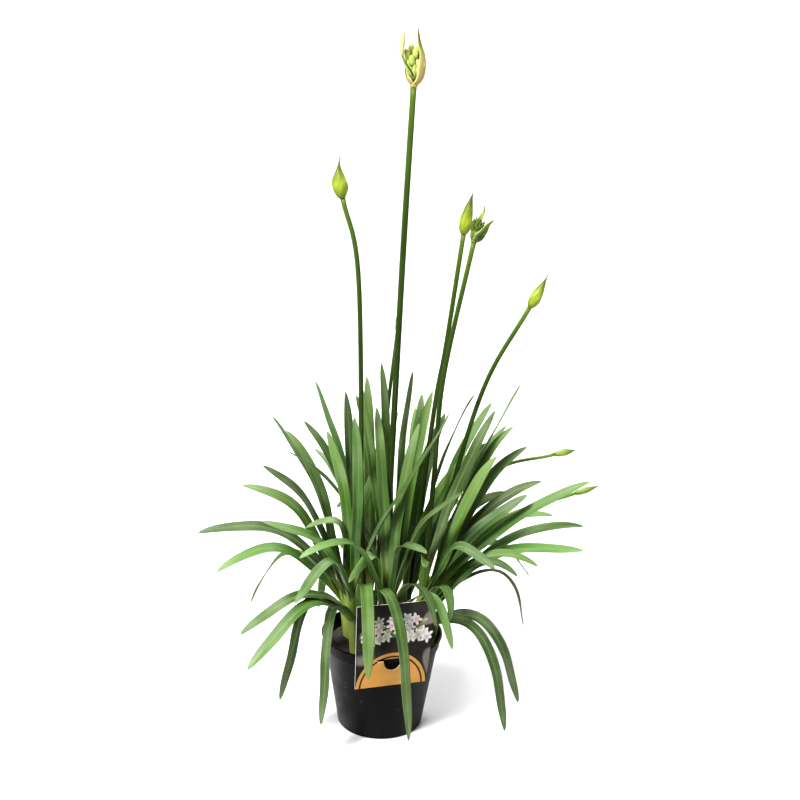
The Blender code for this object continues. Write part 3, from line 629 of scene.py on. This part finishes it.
def addNeck(shape, shoot, rng):
    fan = math.radians(shoot["fan"])
    wide, deep = shoot["neck"]
    heights = [-neck["buried"]] + [step * neck["length"] for step in neck["steps"]]
    sizes = neck["sizes"]
    path, radii = [], []
    for t in even(neck["rings"]):
        height = heights[0] + (heights[-1] - heights[0]) * t
        for lowHeight, highHeight, low, high in zip(heights, heights[1:], sizes, sizes[1:]):
            if height <= highHeight + 1e-6:
                part = max(0.0, (height - lowHeight) / (highHeight - lowHeight))
                break
        path.append(neckPoint(shoot, height))
        radii.append(wide * (low + (high - low) * part))
    side = Vector((math.cos(fan), math.sin(fan), 0))
    places = [0.13 * t for t in even(neck["rings"])]
    # the neck's shade mark is kept low, so it is painted darker than an average leaf: painted shade deep in
    # the clump
    marks = {"shade": rng.uniform(0.32, 0.52), "hue": 0.5, "dry": 0.0}
    addTube(shape, path, radii, neck["sides"], side, deep / wide, neckRipple, marks, places)


def makeShoot(name):
    shoot = shoots[name]
    shape = Shape()
    addNeck(shape, shoot, random.Random(11 + int(name[-1])))
    rng = random.Random(700 + int(name[-1]))
    looks = random.Random(900 + int(name[-1]))
    count = len(shoot["leaves"]) + shoot["more"]
    stations = [1 - (1 - s) ** 1.25 for s in even(blade["rings"])]
    for order in range(count):
        listed = order < len(shoot["leaves"])
        leaf = shoot["leaves"][order] if listed else ruleLeaf(shoot, order, count, rng)
        nudges = shoot["nudges"].get(order, 0)
        trial = leaf
        for attempt in range(1, abs(nudges) + 1):
            trial = shifted(leaf, attempt, rng)
        marks = {
            "shade": looks.random(), "hue": looks.random(),
            "dry": 0.6 if leaf[4] < blade["narrow"] else (0.25 if looks.random() < 0.08 else 0.0),
        }
        phase = looks.uniform(0, 6.28)
        if nudges < 0:
            continue
        path, side = leafCurve(neckPoint(shoot, blade["first"] + blade["step"] * order), trial, stations)
        addBlade(
            shape, path, side, stations, trial[4], blade["thick"], blade["channel"], trial[5],
            leafWidth, marks, blade["wave"], phase)
    return dress(shape.piece("leaves" + name[-1], leafMaterial), "leaf", name)


for name in shoots:
    makeShoot(name)
print("stage: leafy shoots")


# flower stems: the points that each passes from the soil to its head, radius at foot and head

holeDepth = 15.0
scapes = {
    "scape_1": (((3, 1), (3, 3, 190), (8, 9, 374), (12, 10, 528), (17, 10, 675)), 3.3, 2.9),
    "scape_2": (((27, 24), (49, 17, 340), (60, 22, 414), (74, 25, 531)), 2.7, 2.3),
    "scape_3": (((40, -3), (49, -7, 280), (55, -6, 389), (80, -5, 528)), 2.8, 2.3),
    "scape_4": (((53, -2), (64, 0, 233), (97, 0, 374), (141, 0, 462)), 2.7, 2.3),
    "scape_5": (((42, 31), (62, 36, 190), (119, 38, 271), (186, 40, 291)), 2.4, 1.8),
    "scape_6": (((54, -13), (70, -9, 178), (118, -2, 231), (202, 0, 261)), 2.4, 1.7),
    "scape_7": (((-6, 26), (2, 43, 309), (12, 47, 426)), 2.3, 1.8),
    "scape_8": (((-18, 0), (-25, 0, 258), (-33, 0, 490), (-50, 0, 569)), 2.7, 2.3),
}
youngStems = ("scape_5", "scape_6")
stemStations = (0, 0.06, 0.15, 0.25, 0.35, 0.45, 0.55, 0.65, 0.75, 0.84, 0.92, 1)


def scapePath(name, stations):
    knots = scapes[name][0]
    foot = Vector((*knots[0], soilTop + 2))
    below = foot - (Vector(knots[1]) - foot).normalized() * holeDepth
    return smoothCurve([below, foot, *knots[1:]], stations)


def stemRipple(angle, v):
    return 1 + 0.02 * math.cos(3 * angle + 9 * v) + 0.015 * math.cos(8 * angle), {}


for name in scapes:
    shape = Shape()
    stations = even(60)
    foot, head = scapes[name][1:]
    radii = [(foot + (head - foot) * s) * (1 + 0.10 * max(0, (s - 0.985) / 0.015)) for s in stations]
    young = 1.0 if name in youngStems else 0.0
    addTube(shape, scapePath(name, stations), radii, 18, ripple=stemRipple, marks={"young": young})
    dress(shape.piece("stem" + name[-1], scapeMaterial), "scape", name)
print("stage: flower stems")


# closed spathes: length, width, where it is widest, fall to the beak, bow of the beak

buds = {
    "spathe_2": (42, 13.0, 0.25, 1.3, (3.0, 0)),
    "spathe_4": (40, 12.0, 0.25, 2.1, (-2.0, 0)),
    "spathe_5": (25, 7.8, 0.40, 1.5, (0, 0)),
    "spathe_6": (28, 7.0, 0.38, 1.8, (0, 0)),
    "spathe_7": (28, 6.5, 0.36, 1.8, (0, 0)),
    "spathe_8": (43, 15.4, 0.30, 3.0, (9.0, 1.0)),
}
# a bud below this length is young
youngBud = 30


def headStart(number):
    path = scapePath("scape_" + number, stemStations)
    way = (path[-1] - path[-2]).normalized()
    across = (Vector((1, 0, 0)) - way * way.x).normalized()
    return path[-1] + way * 0.3, way, across, way.cross(across)


def budRadius(s, widest, fall, foot):
    if s < widest:
        return foot + (1 - foot) * math.sin(s / widest * math.pi / 2) ** 0.7
    past = (s - widest) / (1 - widest)
    return 0.04 + 0.96 * max(math.cos(past * math.pi / 2), 0.0) ** fall


def budRipple(angle, v):
    # a sharp keel down each side, and soft bulges where the florets press from inside
    keel = max(math.exp(-((angle - 0.5) / 0.13) ** 2), 0.8 * math.exp(-((angle - 3.7) / 0.13) ** 2))
    swell = math.sin(math.pi * min(v * 1.6, 1.0))
    press = 0.045 * math.sin(3 * angle + 11 * v) * swell + 0.03 * math.sin(5 * angle - 19 * v) * swell
    return 1 + 0.07 * keel + press, {"keel": keel * min(1.0, 0.25 + v * 1.1)}


def makeBud(name):
    length, width, widest, fall, bow = buds[name]
    number = name[-1]
    start, way, across = headStart(number)[:3]
    bend = Vector((bow[0], bow[1], 0))
    stations = [s**1.1 for s in even(34)]
    axis = [start + way * length * s + bend * s**2 for s in stations]
    foot = (scapes["scape_" + number][2] + 0.3) / (width / 2)
    radii = [width / 2 * budRadius(s, widest, fall, foot) for s in stations]
    shape = Shape()
    addTube(shape, axis, radii, 32, across, 0.94, budRipple, None, stations)
    material = youngSpatheMaterial if length < youngBud else budMaterial
    return dress(shape.piece("bud" + number, material), "spathe", name)


for name in buds:
    makeBud(name)
print("stage: closed spathes")


# split spathes: bracts as turn, width and the places along and out that each passes;
# tries says how many times each floret was drawn again until it stood clear

heads = {
    "1": {
        "bracts": (
            (-26, 17, ((7, 8.2), (17, 10.6), (30, 9.2), (43, 3.8), (57, 0.4))),
            (178, 13, ((6, 6.2), (12, 8.8), (19, 9.6))),
        ),
        "length": 33, "spread": 31, "plump": 3.1, "stray": (-14, -8, 52),
        "tries": (24, 0, 3, 0, 0, 24, 0, 0, 15, 0, 19, 0, 0),
    },
    "3": {
        "bracts": (
            (-40, 20, ((4, 7.5), (12, 11.0), (20, 12.5), (27, 16.5))),
            (200, 13, ((6, 5.4), (15, 4.0), (24, 0.8), (32, -2.8), (38, -2.2))),
        ),
        "length": 14, "spread": 14, "plump": 1.6, "stray": None,
        "tries": (0, 31, 5, 0, 4),
    },
}
goldenTurn = 2.399963
bractPlaces = even(26)


def bractOutline(s):
    if s < 0.36:
        return 0.5 + 0.5 * math.sin(s / 0.36 * math.pi / 2)
    return max(1 - (s - 0.36) / 0.64, 0.0) ** 0.85


def addBract(shape, number, bract):
    turn, width, places = bract
    start, way, across, depth = headStart(number)
    angle = math.radians(turn)
    out = between(across, depth, angle)
    knots = [start + way * along + out * aside for along, aside in ((0.8, 1.8), *places)]
    path = smoothCurve(knots, bractPlaces)
    first = len(shape.points)
    addBlade(shape, path, way.cross(out), bractPlaces, width, 0.9, 0.66, 0, bractOutline, {"keel": 0.0})
    rim = shape.marks.setdefault("rim", [0.0] * first)
    rim.extend([0.0] * (first - len(rim)))
    for u, v in shape.uv[first:]:
        edge = max(0.0, (abs(u - 0.5) * 2 - 0.72) / 0.28)
        rim.append(edge * (1 - v) ** 0.5)


def collarShape(number):
    start, way, across = headStart(number)[:3]
    radius = scapes["scape_" + number][2]
    shape = Shape()
    path = [start + way * z for z in (0, 0.6, 1.4, 2.2, 3)]
    radii = [radius + grow for grow in (0.5, 1.0, 1.3, 1.0, 0.4)]
    addTube(shape, path, radii, 24, across, marks={"keel": 0.0, "rim": 0.0}, places=[0.0] * len(path))
    return shape


# small shut florets: count, length, spread, radius and how far the colour goes to cream
fillers = {"1": (30, 25.0, 40.0, 3.1, 0.88), "3": (18, 20.0, 34.0, 2.1, 0.42)}


def floretRipple(angle, v):
    swell = max(0.0, min(1.0, (v - 0.5) * 5))
    return 1 + 0.05 * swell * math.cos(6 * angle), {}


def addFloret(shape, path, radii, sides, side, places, pale=0.0):
    addTube(shape, path, radii, sides, side, 1.0, floretRipple, {"pale": pale}, places)


def addFiller(shape, number, foot, way, across, depth):
    # they fill the cup below the tall ones
    rng = random.Random(60 + int(number))
    count, tall, wide, plump, ripe = fillers[number]
    fine = even(14)
    radii = [max(plump * math.sin(math.pi * min(1.0, 0.18 + 0.82 * s)) ** 0.6, 0.3) for s in fine]
    places = [0.35 + (ripe - 0.35) * s for s in fine]
    for k in range(count):
        turn = 2.4 * k + rng.uniform(-0.2, 0.2)
        share = (k + 0.5) / count
        tilt = math.radians(wide) * math.sqrt(share)
        out = between(across, depth, turn)
        line = between(way, out, tilt)
        length = tall * (1 - 0.40 * share) * rng.uniform(0.9, 1.1)
        path = [foot + way * 2.5 + line * length * s for s in fine]
        addFloret(shape, path, radii, 10, line.orthogonal(), places)


def makeFlorets(number):
    rng = random.Random(40 + int(number))
    head = heads[number]
    start, way, across, depth = headStart(number)
    foot = start + way * 3.3
    shape = Shape()
    core = [foot + way * z for z in (0, 1.8, 3.5, 5.2, 7)]
    addTube(shape, core, (1.3, 1.6, 1.9, 1.5, 1.0), 12, across, marks={"pale": 0.0}, places=[0.1] * len(core))
    addFiller(shape, number, foot, way, across, depth)
    for k, tries in enumerate(head["tries"]):
        for attempt in range(tries + 1):
            turn = goldenTurn * k + rng.uniform(-0.3, 0.3) * (attempt > 0)
            share = (k + 0.4) / len(head["tries"])
            tilt = math.radians(head["spread"]) * math.sqrt(share) * (1 - 0.02 * attempt)
            out = between(across, depth, turn)
            line = between(way, out, tilt)
            length = head["length"] * (1.1 - 0.55 * share) * rng.uniform(0.95, 1.05)
            root = foot + way * 3.0 + out * 0.5
        bud = min(13.0, length * 0.6) / length
        plump = head["plump"]
        fine = even(18)
        radii = []
        for s in fine:
            rise = max(0.0, min(1.0, (s - (1 - bud)) / (0.4 * bud)))
            close = max(0.0, (s - (1 - 0.45 * bud)) / (0.45 * bud))
            swell = 1.0 + (plump - 1.0) * math.sin(rise * math.pi / 2) ** 1.5
            radii.append(max(swell * math.sqrt(max(1 - close**2.2, 0.0)), 0.35))
        path = [root + line * length * s for s in fine]
        stretched = [0.55 * min(s / (1 - bud), 1.0) + 0.45 * max(0.0, (s - 1 + bud) / bud) for s in fine]
        addFloret(shape, path, radii, 12, line.orthogonal(), stretched)
    if head["stray"]:
        x, y, z = head["stray"]
        tip = start + across * x + depth * y + way * z
        knots = [foot + way * 3, foot + way * 11 - across * 4 - depth * 9, tip - way * 22, tip]
        fine = even(26)
        path = smoothCurve(knots, fine)
        radii = []
        for s in fine:
            rise = max(0.0, min(1.0, (s - 0.52) / 0.16))
            close = max(0.0, (s - 0.80) / 0.20)
            radii.append(max((0.9 + 1.9 * rise) * math.sqrt(max(1 - close**2.4, 0.0)), 0.4))
        places = [0.5 * min(s / 0.52, 1.0) + 0.5 * max(0.0, (s - 0.52) / 0.48) for s in fine]
        addFloret(shape, path, radii, 14, across, places, 1.0)
    return dress(shape.piece("florets" + number, floretMaterial), "floret", "florets_" + number)


for number in heads:
    collar = collarShape(number)
    for bract in heads[number]["bracts"]:
        addBract(collar, number, bract)
    material = paperSpatheMaterial if number == "1" else greenSpatheMaterial
    dress(collar.piece("spathe" + number, material), "spathe", "spathe_" + number)
    makeFlorets(number)
print("stage: split spathes and florets")


# the nursery pot, turned from one outline

pot = {
    "height": 105.0, "rim": 65.0, "wall": 1.5, "base": 46.0, "floor": 1.8, "collar": 12.5,
    "flare": 12.9, "steps": 96,
}
# metres
drain = {"count": 8, "sides": 28, "radius": 0.004, "depth": 0.01, "ring": 0.032}


def innerWall(height):
    step = pot["height"] - pot["collar"] - 1.5
    return pot["base"] - pot["wall"] + 1.0 + (height - pot["floor"]) / (step - pot["floor"]) * pot["flare"]


def deselect():
    bpy.ops.object.select_all(action="DESELECT")


def spinOutline(name, outline, steps):
    # a vertex is extruded from corner to corner, then the line is spun round the axis
    deselect()
    bpy.ops.mesh.primitive_plane_add(size=0.01)
    piece = bpy.context.object
    piece.name = name
    bpy.ops.object.mode_set(mode="EDIT")
    bpy.ops.mesh.select_all(action="SELECT")
    bpy.ops.mesh.merge(type="CENTER")
    bpy.ops.transform.translate(value=(outline[0][0] * mm, 0, outline[0][1] * mm))
    for (r0, z0), (r1, z1) in zip(outline, outline[1:]):
        move = ((r1 - r0) * mm, 0, (z1 - z0) * mm)
        bpy.ops.mesh.extrude_vertices_move(TRANSFORM_OT_translate={"value": move})
    bpy.ops.mesh.select_all(action="SELECT")
    bpy.ops.mesh.spin(steps=steps, angle=math.tau, center=(0, 0, 0), axis=(0, 0, 1))
    bpy.ops.mesh.select_all(action="SELECT")
    bpy.ops.mesh.remove_doubles(threshold=0.00001)
    bpy.ops.mesh.normals_make_consistent(inside=False)
    bpy.ops.object.mode_set(mode="OBJECT")
    bpy.ops.object.shade_smooth_by_angle(angle=math.radians(32))
    piece.data.name = name
    return piece


def makePotMaterial():
    made, tree, shader = newMaterial("potPlastic", 0.36, 0.08)
    speck = noiseValue(tree, 260.0, 4.0)
    dust = noiseValue(tree, 34.0, 5.0, (1, 1, 0.6))
    body = tint(tree, (0.0030, 0.0029, 0.0027), dust, 0.48, 0.78, 0.5, (0.0095, 0.0085, 0.0070))
    grit = maths(tree, "MULTIPLY", greyRamp(tree, speck, 0.66, 0.72), greyRamp(tree, dust, 0.45, 0.65))
    body = wash(tree, body, grit, 0.5, (0.16, 0.13, 0.10))
    paint(tree, shader, body)
    paint(tree, shader, greyRamp(tree, dust, 0.3, 0.7, 0.28, 0.50), "Roughness")
    addBump(tree, shader, noiseValue(tree, 900.0, 2.0), 0.12, 0.0003)
    return made


rim, top, base = pot["rim"], pot["height"], pot["base"]
inside = rim - pot["wall"]
step = top - pot["collar"]
shoulder = rim - 2.6
throat = shoulder - pot["wall"]
potPiece = spinOutline("nurseryPot", [
    (0, 0), (base - 1.6, 0), (base - 0.5, 0.35), (base, 1.2), (shoulder - 2.05, step - 2.0),
    (shoulder - 1.6, step - 1.2), (shoulder - 0.2, step - 0.4), (shoulder, step + 0.3),
    (rim - 1.4, top - 2.8), (rim - 0.3, top - 2.4), (rim, top - 1.8), (rim, top - 0.7),
    (rim - 0.25, top - 0.2), (rim - 0.7, top), (inside - 0.9, top), (inside - 1.1, top - 0.4),
    (throat, step + 0.6), (throat - 2.0, step - 1.4), (innerWall(pot["floor"]), pot["floor"]),
    (0, pot["floor"])], pot["steps"])
for k in range(drain["count"]):
    angle = math.tau * (k + 0.5) / drain["count"]
    deselect()
    bpy.ops.mesh.primitive_cylinder_add(
        vertices=drain["sides"], radius=drain["radius"], depth=drain["depth"],
        location=(drain["ring"] * math.cos(angle), drain["ring"] * math.sin(angle), 0))
    drill = bpy.context.object
    cut = potPiece.modifiers.new("drain", "BOOLEAN")
    cut.object = drill
    cut.operation = "DIFFERENCE"
    cut.solver = "EXACT"
    bpy.context.view_layer.objects.active = potPiece
    bpy.ops.object.modifier_apply(modifier=cut.name)
    bpy.data.objects.remove(drill, do_unlink=True)
potPiece.data.materials.clear()
potPiece.data.materials.append(makePotMaterial())
dress(potPiece, "pot_plastic", "pot")
print("stage: pot")


# peat soil, with a dimple round every neck and stem

soil = {"rings": 70, "sectors": 150, "edge": 57.6}


def soilHeight(x, y):
    radius = math.hypot(x, y) / 58.0
    bumps = math.sin(x * 0.13 + 1.2) * math.cos(y * 0.15 - 0.6) + 0.6 * math.sin(x * 0.31 - y * 0.27)
    return soilTop + 2.4 * (1 - radius**2) + 0.9 * bumps * (1 - radius**4)


def makeSoilMaterial():
    made, tree, shader = newMaterial("peat", 0.92)
    crumb = noiseValue(tree, 420.0, 5.0, rough=0.65)
    fibre = noiseValue(tree, 120.0, 4.0, (1, 3, 1))
    body = ramp(tree, crumb, [
        (0.30, (0.004, 0.003, 0.002)), (0.52, (0.014, 0.009, 0.006)), (0.72, (0.048, 0.031, 0.019))])
    body = tint(tree, body, fibre, 0.60, 0.74, 0.5, (0.075, 0.050, 0.030))
    paint(tree, shader, body)
    addBump(tree, shader, crumb, 0.9, 0.0012)
    return made


def makeSoil():
    shape = Shape()
    stems = [(Vector((*shoot["foot"], 0)), shoot["neck"][0]) for shoot in shoots.values()]
    stems += [(Vector((*knots[0][0], 0)), knots[1]) for knots in scapes.values()]
    low = pot["floor"] + 0.3
    rings = [[shape.add(Vector((0, 0, low)), 0, 0)]]
    outline = [(innerWall(low) - 0.6, low), (innerWall(soilTop - 2) - 0.8, soilTop - 3)]
    outline += [(soil["edge"] * (1 - t) ** 0.9, None) for t in even(soil["rings"])[:-1]]
    for radius, height in outline:
        ring = []
        for k in range(soil["sectors"]):
            angle = math.tau * k / soil["sectors"]
            x, y = radius * math.cos(angle), radius * math.sin(angle)
            z = height
            if z is None:
                z = soilHeight(x, y)
                crumb = noise.fractal(Vector((x, y, 3.0)) * 0.16, 1.0, 2.1, 5)
                fade = min(1.0, (soil["edge"] - radius) / 4)
                z += 1.5 * crumb * fade
                for place, size in stems:
                    gap = (Vector((x, y, 0)) - place).length - size
                    z -= 1.6 * math.exp(-max(gap, 0) / 1.6) if gap > -2 else 5
                z = min(z, soilTop + 4.4)
            ring.append(shape.add(Vector((x, y, z)), angle, radius))
        rings.append(ring)
    rings.append([shape.add(Vector((0, 0, soilHeight(0, 0))), 0, 0)])
    count = soil["sectors"]
    for k in range(count):
        n = (k + 1) % count
        shape.faces.append((rings[0][0], rings[1][n], rings[1][k]))
        shape.faces.append((rings[-1][0], rings[-2][k], rings[-2][n]))
        for a, b in zip(rings[1:-2], rings[2:-1]):
            shape.faces.append((a[k], a[n], b[n], b[k]))
    return dress(shape.piece("peatSoil", makeSoilMaterial()), "peat", "soil")


makeSoil()
print("stage: soil")


# label card: its own solid keeps its shape, its front is printed

card = {
    "yaw": -16.0, "roll": 3.0, "top": 88.0, "foot": 79.0, "height": 92.0, "belowRim": 29.0,
    "thick": 0.6, "offset": -13.0, "seed": 23,
}
# the printed spray: its hub and lowest height on the card, draws for florets and their distance
spray = {"hub": (4.0, 55.0), "low": 46, "draws": 150, "apart": 6.0, "margin": 6.0}


def cardPoint(across, proud, height):
    yaw, roll = math.radians(card["yaw"]), math.radians(card["roll"])
    along = Vector((math.cos(yaw), -math.sin(yaw), 0))
    normal = Vector((-math.sin(yaw), -math.cos(yaw), 0))
    rolledX = across * math.cos(roll) + height * math.sin(roll)
    rolledZ = -across * math.sin(roll) + height * math.cos(roll)
    face = pot["rim"] + 0.3 + card["thick"] + proud
    return normal * face + along * (rolledX + card["offset"]) + up * (pot["height"] + rolledZ)


def dotWith(tree, vector, way):
    node = addNode(tree, "ShaderNodeVectorMath", operation="DOT_PRODUCT")
    tree.links.new(vector, node.inputs[0])
    node.inputs[1].default_value = tuple(way)
    return node.outputs["Value"]


def alongCard(tree, place, way):
    # millimetres from the middle of the card's foot
    corner = cardPoint(0, 0, -card["belowRim"]) * mm
    gap = maths(tree, "SUBTRACT", dotWith(tree, place, way), corner.dot(way))
    return maths(tree, "MULTIPLY", gap, 1000)


def makeCardMaterial():
    made, tree, shader = newMaterial("printedCard", 0.38, 0.16)
    acrossWay = cardPoint(1, 0, 0) - cardPoint(0, 0, 0)
    upWay = cardPoint(0, 0, 1) - cardPoint(0, 0, 0)
    coords = addNode(tree, "ShaderNodeTexCoord")
    a = alongCard(tree, coords.outputs["Object"], acrossWay)
    h = alongCard(tree, coords.outputs["Object"], upWay)
    blur = noiseValue(tree, 30.0, 1.0)
    body = tint(tree, (0.0055, 0.0048, 0.0040), blur, 0.40, 0.66, 0.55, (0.030, 0.026, 0.020))
    body = tint(tree, body, noiseValue(tree, 46.0, 0.0), 0.64, 0.74, 0.55, (0.22, 0.20, 0.17))
    # the half-round panel and the line within its edge
    aa = maths(tree, "DIVIDE", maths(tree, "ADD", a, 0.3), 38.8)
    hh = maths(tree, "DIVIDE", maths(tree, "ADD", h, 1.0), 38.0)
    squares = [maths(tree, "MULTIPLY", part, part) for part in (aa, hh)]
    ring = maths(tree, "SQRT", maths(tree, "ADD", *squares))
    shade = noiseValue(tree, 60.0, 3.0)
    orange = mixColour(tree, greyRamp(tree, shade, 0.3, 0.7), (0.33, 0.165, 0.040), (0.38, 0.20, 0.055))
    body = mixColour(tree, greyRamp(tree, ring, 0.995, 1.005, 1.0, 0.0), body, orange)
    outer = greyRamp(tree, ring, 0.905, 0.915, 1.0, 0.0)
    line = maths(tree, "MULTIPLY", greyRamp(tree, ring, 0.855, 0.865), outer)
    body = mixColour(tree, line, body, (0.022, 0.012, 0.006))
    facing = dotWith(tree, coords.outputs["Normal"], acrossWay.cross(upWay))
    body = mixColour(tree, greyRamp(tree, facing, 0.80, 0.90, 1.0, 0.0), body, (0.80, 0.79, 0.76))
    paint(tree, shader, body)
    return made


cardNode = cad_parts["label_card"]
cardNode.data.materials.clear()
cardNode.data.materials.append(makeCardMaterial())


def makePrintMaterial():
    made, tree, shader = newMaterial("printedPetals", 0.36)
    paint(tree, shader, attribute(tree, "ink", "Color"))
    return made


petalHalf = ((0, 0), (0.2, 0.30), (0.5, 0.5), (0.8, 0.42), (1, 0.08))
petalOutline = (*petalHalf, *((along, -aside) for along, aside in petalHalf[:0:-1]))


def addPetal(sheet, place, turn, length, width, level, inner, outer):
    # a flat leaf-shaped patch that pales from its foot to its tip
    points, faces, inks = sheet
    first, count = len(points), len(petalOutline)
    cosTurn, sinTurn = math.cos(turn), math.sin(turn)
    for along, aside in ((0.55, 0), *petalOutline):
        x = place[0] + along * length * cosTurn - aside * width * sinTurn
        h = place[1] + along * length * sinTurn + aside * width * cosTurn
        points.append(cardPoint(x, level, h - card["belowRim"]))
        inks.append([inner[i] + (outer[i] - inner[i]) * along for i in range(3)])
    for k in range(count):
        faces.append((first, first + 1 + k, first + 1 + (k + 1) % count))


def inCard(x, h):
    margin = spray["margin"]
    half = card["foot"] / 2 + (card["top"] - card["foot"]) / 2 * h / card["height"] - margin
    return abs(x) < half and spray["low"] < h < card["height"] - margin


def makePrint():
    # a generic spray: open six-petalled florets and shut ones on stalks from one hub
    rng = random.Random(card["seed"])
    sheet = points, faces, inks = [], [], []
    hub = spray["hub"]
    level = 0.05
    places = []
    for k in range(spray["draws"]):
        angle = math.radians(rng.uniform(-12, 192))
        reach = rng.uniform(11, 37)
        place = (hub[0] + reach * math.cos(angle), hub[1] + reach * 0.62 * math.sin(angle))
        apart = all(math.dist(place, other) > spray["apart"] for other in places)
        if apart and inCard(*place):
            places.append(place)
    for x, h in places:
        way, length = math.atan2(h - hub[1], x - hub[0]), math.dist((x, h), hub)
        addPetal(sheet, hub, way, length, 1.2, level, (0.020, 0.026, 0.006), (0.075, 0.09, 0.025))
        level += 0.0015
    for x, h in sorted(places, key=lambda place: -math.dist(place, hub)):
        way = math.atan2(h - hub[1], x - hub[0])
        tone = rng.uniform(0.30, 0.55)
        warm = (tone, tone * 0.96, tone * 0.87)
        dusk = tuple(c * rng.uniform(0.35, 0.6) for c in warm)
        if rng.random() < 0.3:
            addPetal(sheet, (x, h), way, 7.5, 3.4, level, (0.10, 0.12, 0.03), (0.30, 0.30, 0.16))
            level += 0.002
            continue
        tube = (x - 6.5 * math.cos(way), h - 6.5 * math.sin(way))
        addPetal(sheet, tube, way, 9.0, 3.6, level, dusk, warm)
        level += 0.002
        size = rng.uniform(6.4, 8.2)
        spin = rng.uniform(0, 1.0)
        squash = rng.uniform(0.55, 0.95)
        for petal in range(6):
            turn = spin + petal * math.tau / 6
            reach = size * (1 if abs(math.sin(turn - way)) > 0.5 else squash)
            addPetal(sheet, (x, h), turn, reach, size * 0.46, level, dusk, warm)
            level += 0.001
        eye = (x - 0.7, h - 0.7)
        addPetal(sheet, eye, way, 2.0, 1.6, level, (0.16, 0.16, 0.05), (0.24, 0.23, 0.09))
        level += 0.001
    mesh = bpy.data.meshes.new("cardPrint")
    mesh.from_pydata([p * mm for p in points], [], faces)
    colours = mesh.color_attributes.new("ink", "FLOAT_COLOR", "POINT")
    for k, ink in enumerate(inks):
        colours.data[k].color = (*ink, 1)
    mesh.materials.append(makePrintMaterial())
    return dress(linked(bpy.data.objects.new("cardPrint", mesh)), "card")


makePrint()
print("stage: label card")


# floor and the round cove behind it

cove = {
    "floor": 3.0, "bend": 1.3, "top": 2.9, "steps": 72,
    "pale": (0.50, 0.50, 0.50), "wall": (0.62, 0.62, 0.61), "glow": (0.34, 0.34, 0.34),
    "rise": (0.02, 1.0), "arc": 8, "drop": 0.5,
}


def makeFloor():
    reach, bend = cove["floor"], cove["bend"]
    outline = [(0, 0), (reach, 0)]
    for k in range(1, cove["arc"] + 1):
        angle = math.pi / 2 * k / cove["arc"]
        outline.append((reach + bend * math.sin(angle), bend * (1 - math.cos(angle))))
    outline.append((reach + bend, cove["top"]))
    outline = [(r * 1000, z * 1000 - cove["drop"]) for r, z in outline]
    floor = spinOutline("floor", outline, cove["steps"])
    made, tree, shader = newMaterial("paleFloor", 0.85, 0.1)
    place = addNode(tree, "ShaderNodeTexCoord").outputs["Object"]
    split = addNode(tree, "ShaderNodeSeparateXYZ")
    tree.links.new(place, split.inputs[0])
    share = greyRamp(tree, split.outputs["Z"], *cove["rise"])
    paint(tree, shader, mixColour(tree, share, cove["pale"], cove["wall"]))
    paint(tree, shader, mixColour(tree, share, (0, 0, 0), cove["glow"]), "Emission Color")
    shader.inputs["Emission Strength"].default_value = 1.0
    floor.data.materials.append(made)


makeFloor()
print("stage: finished")
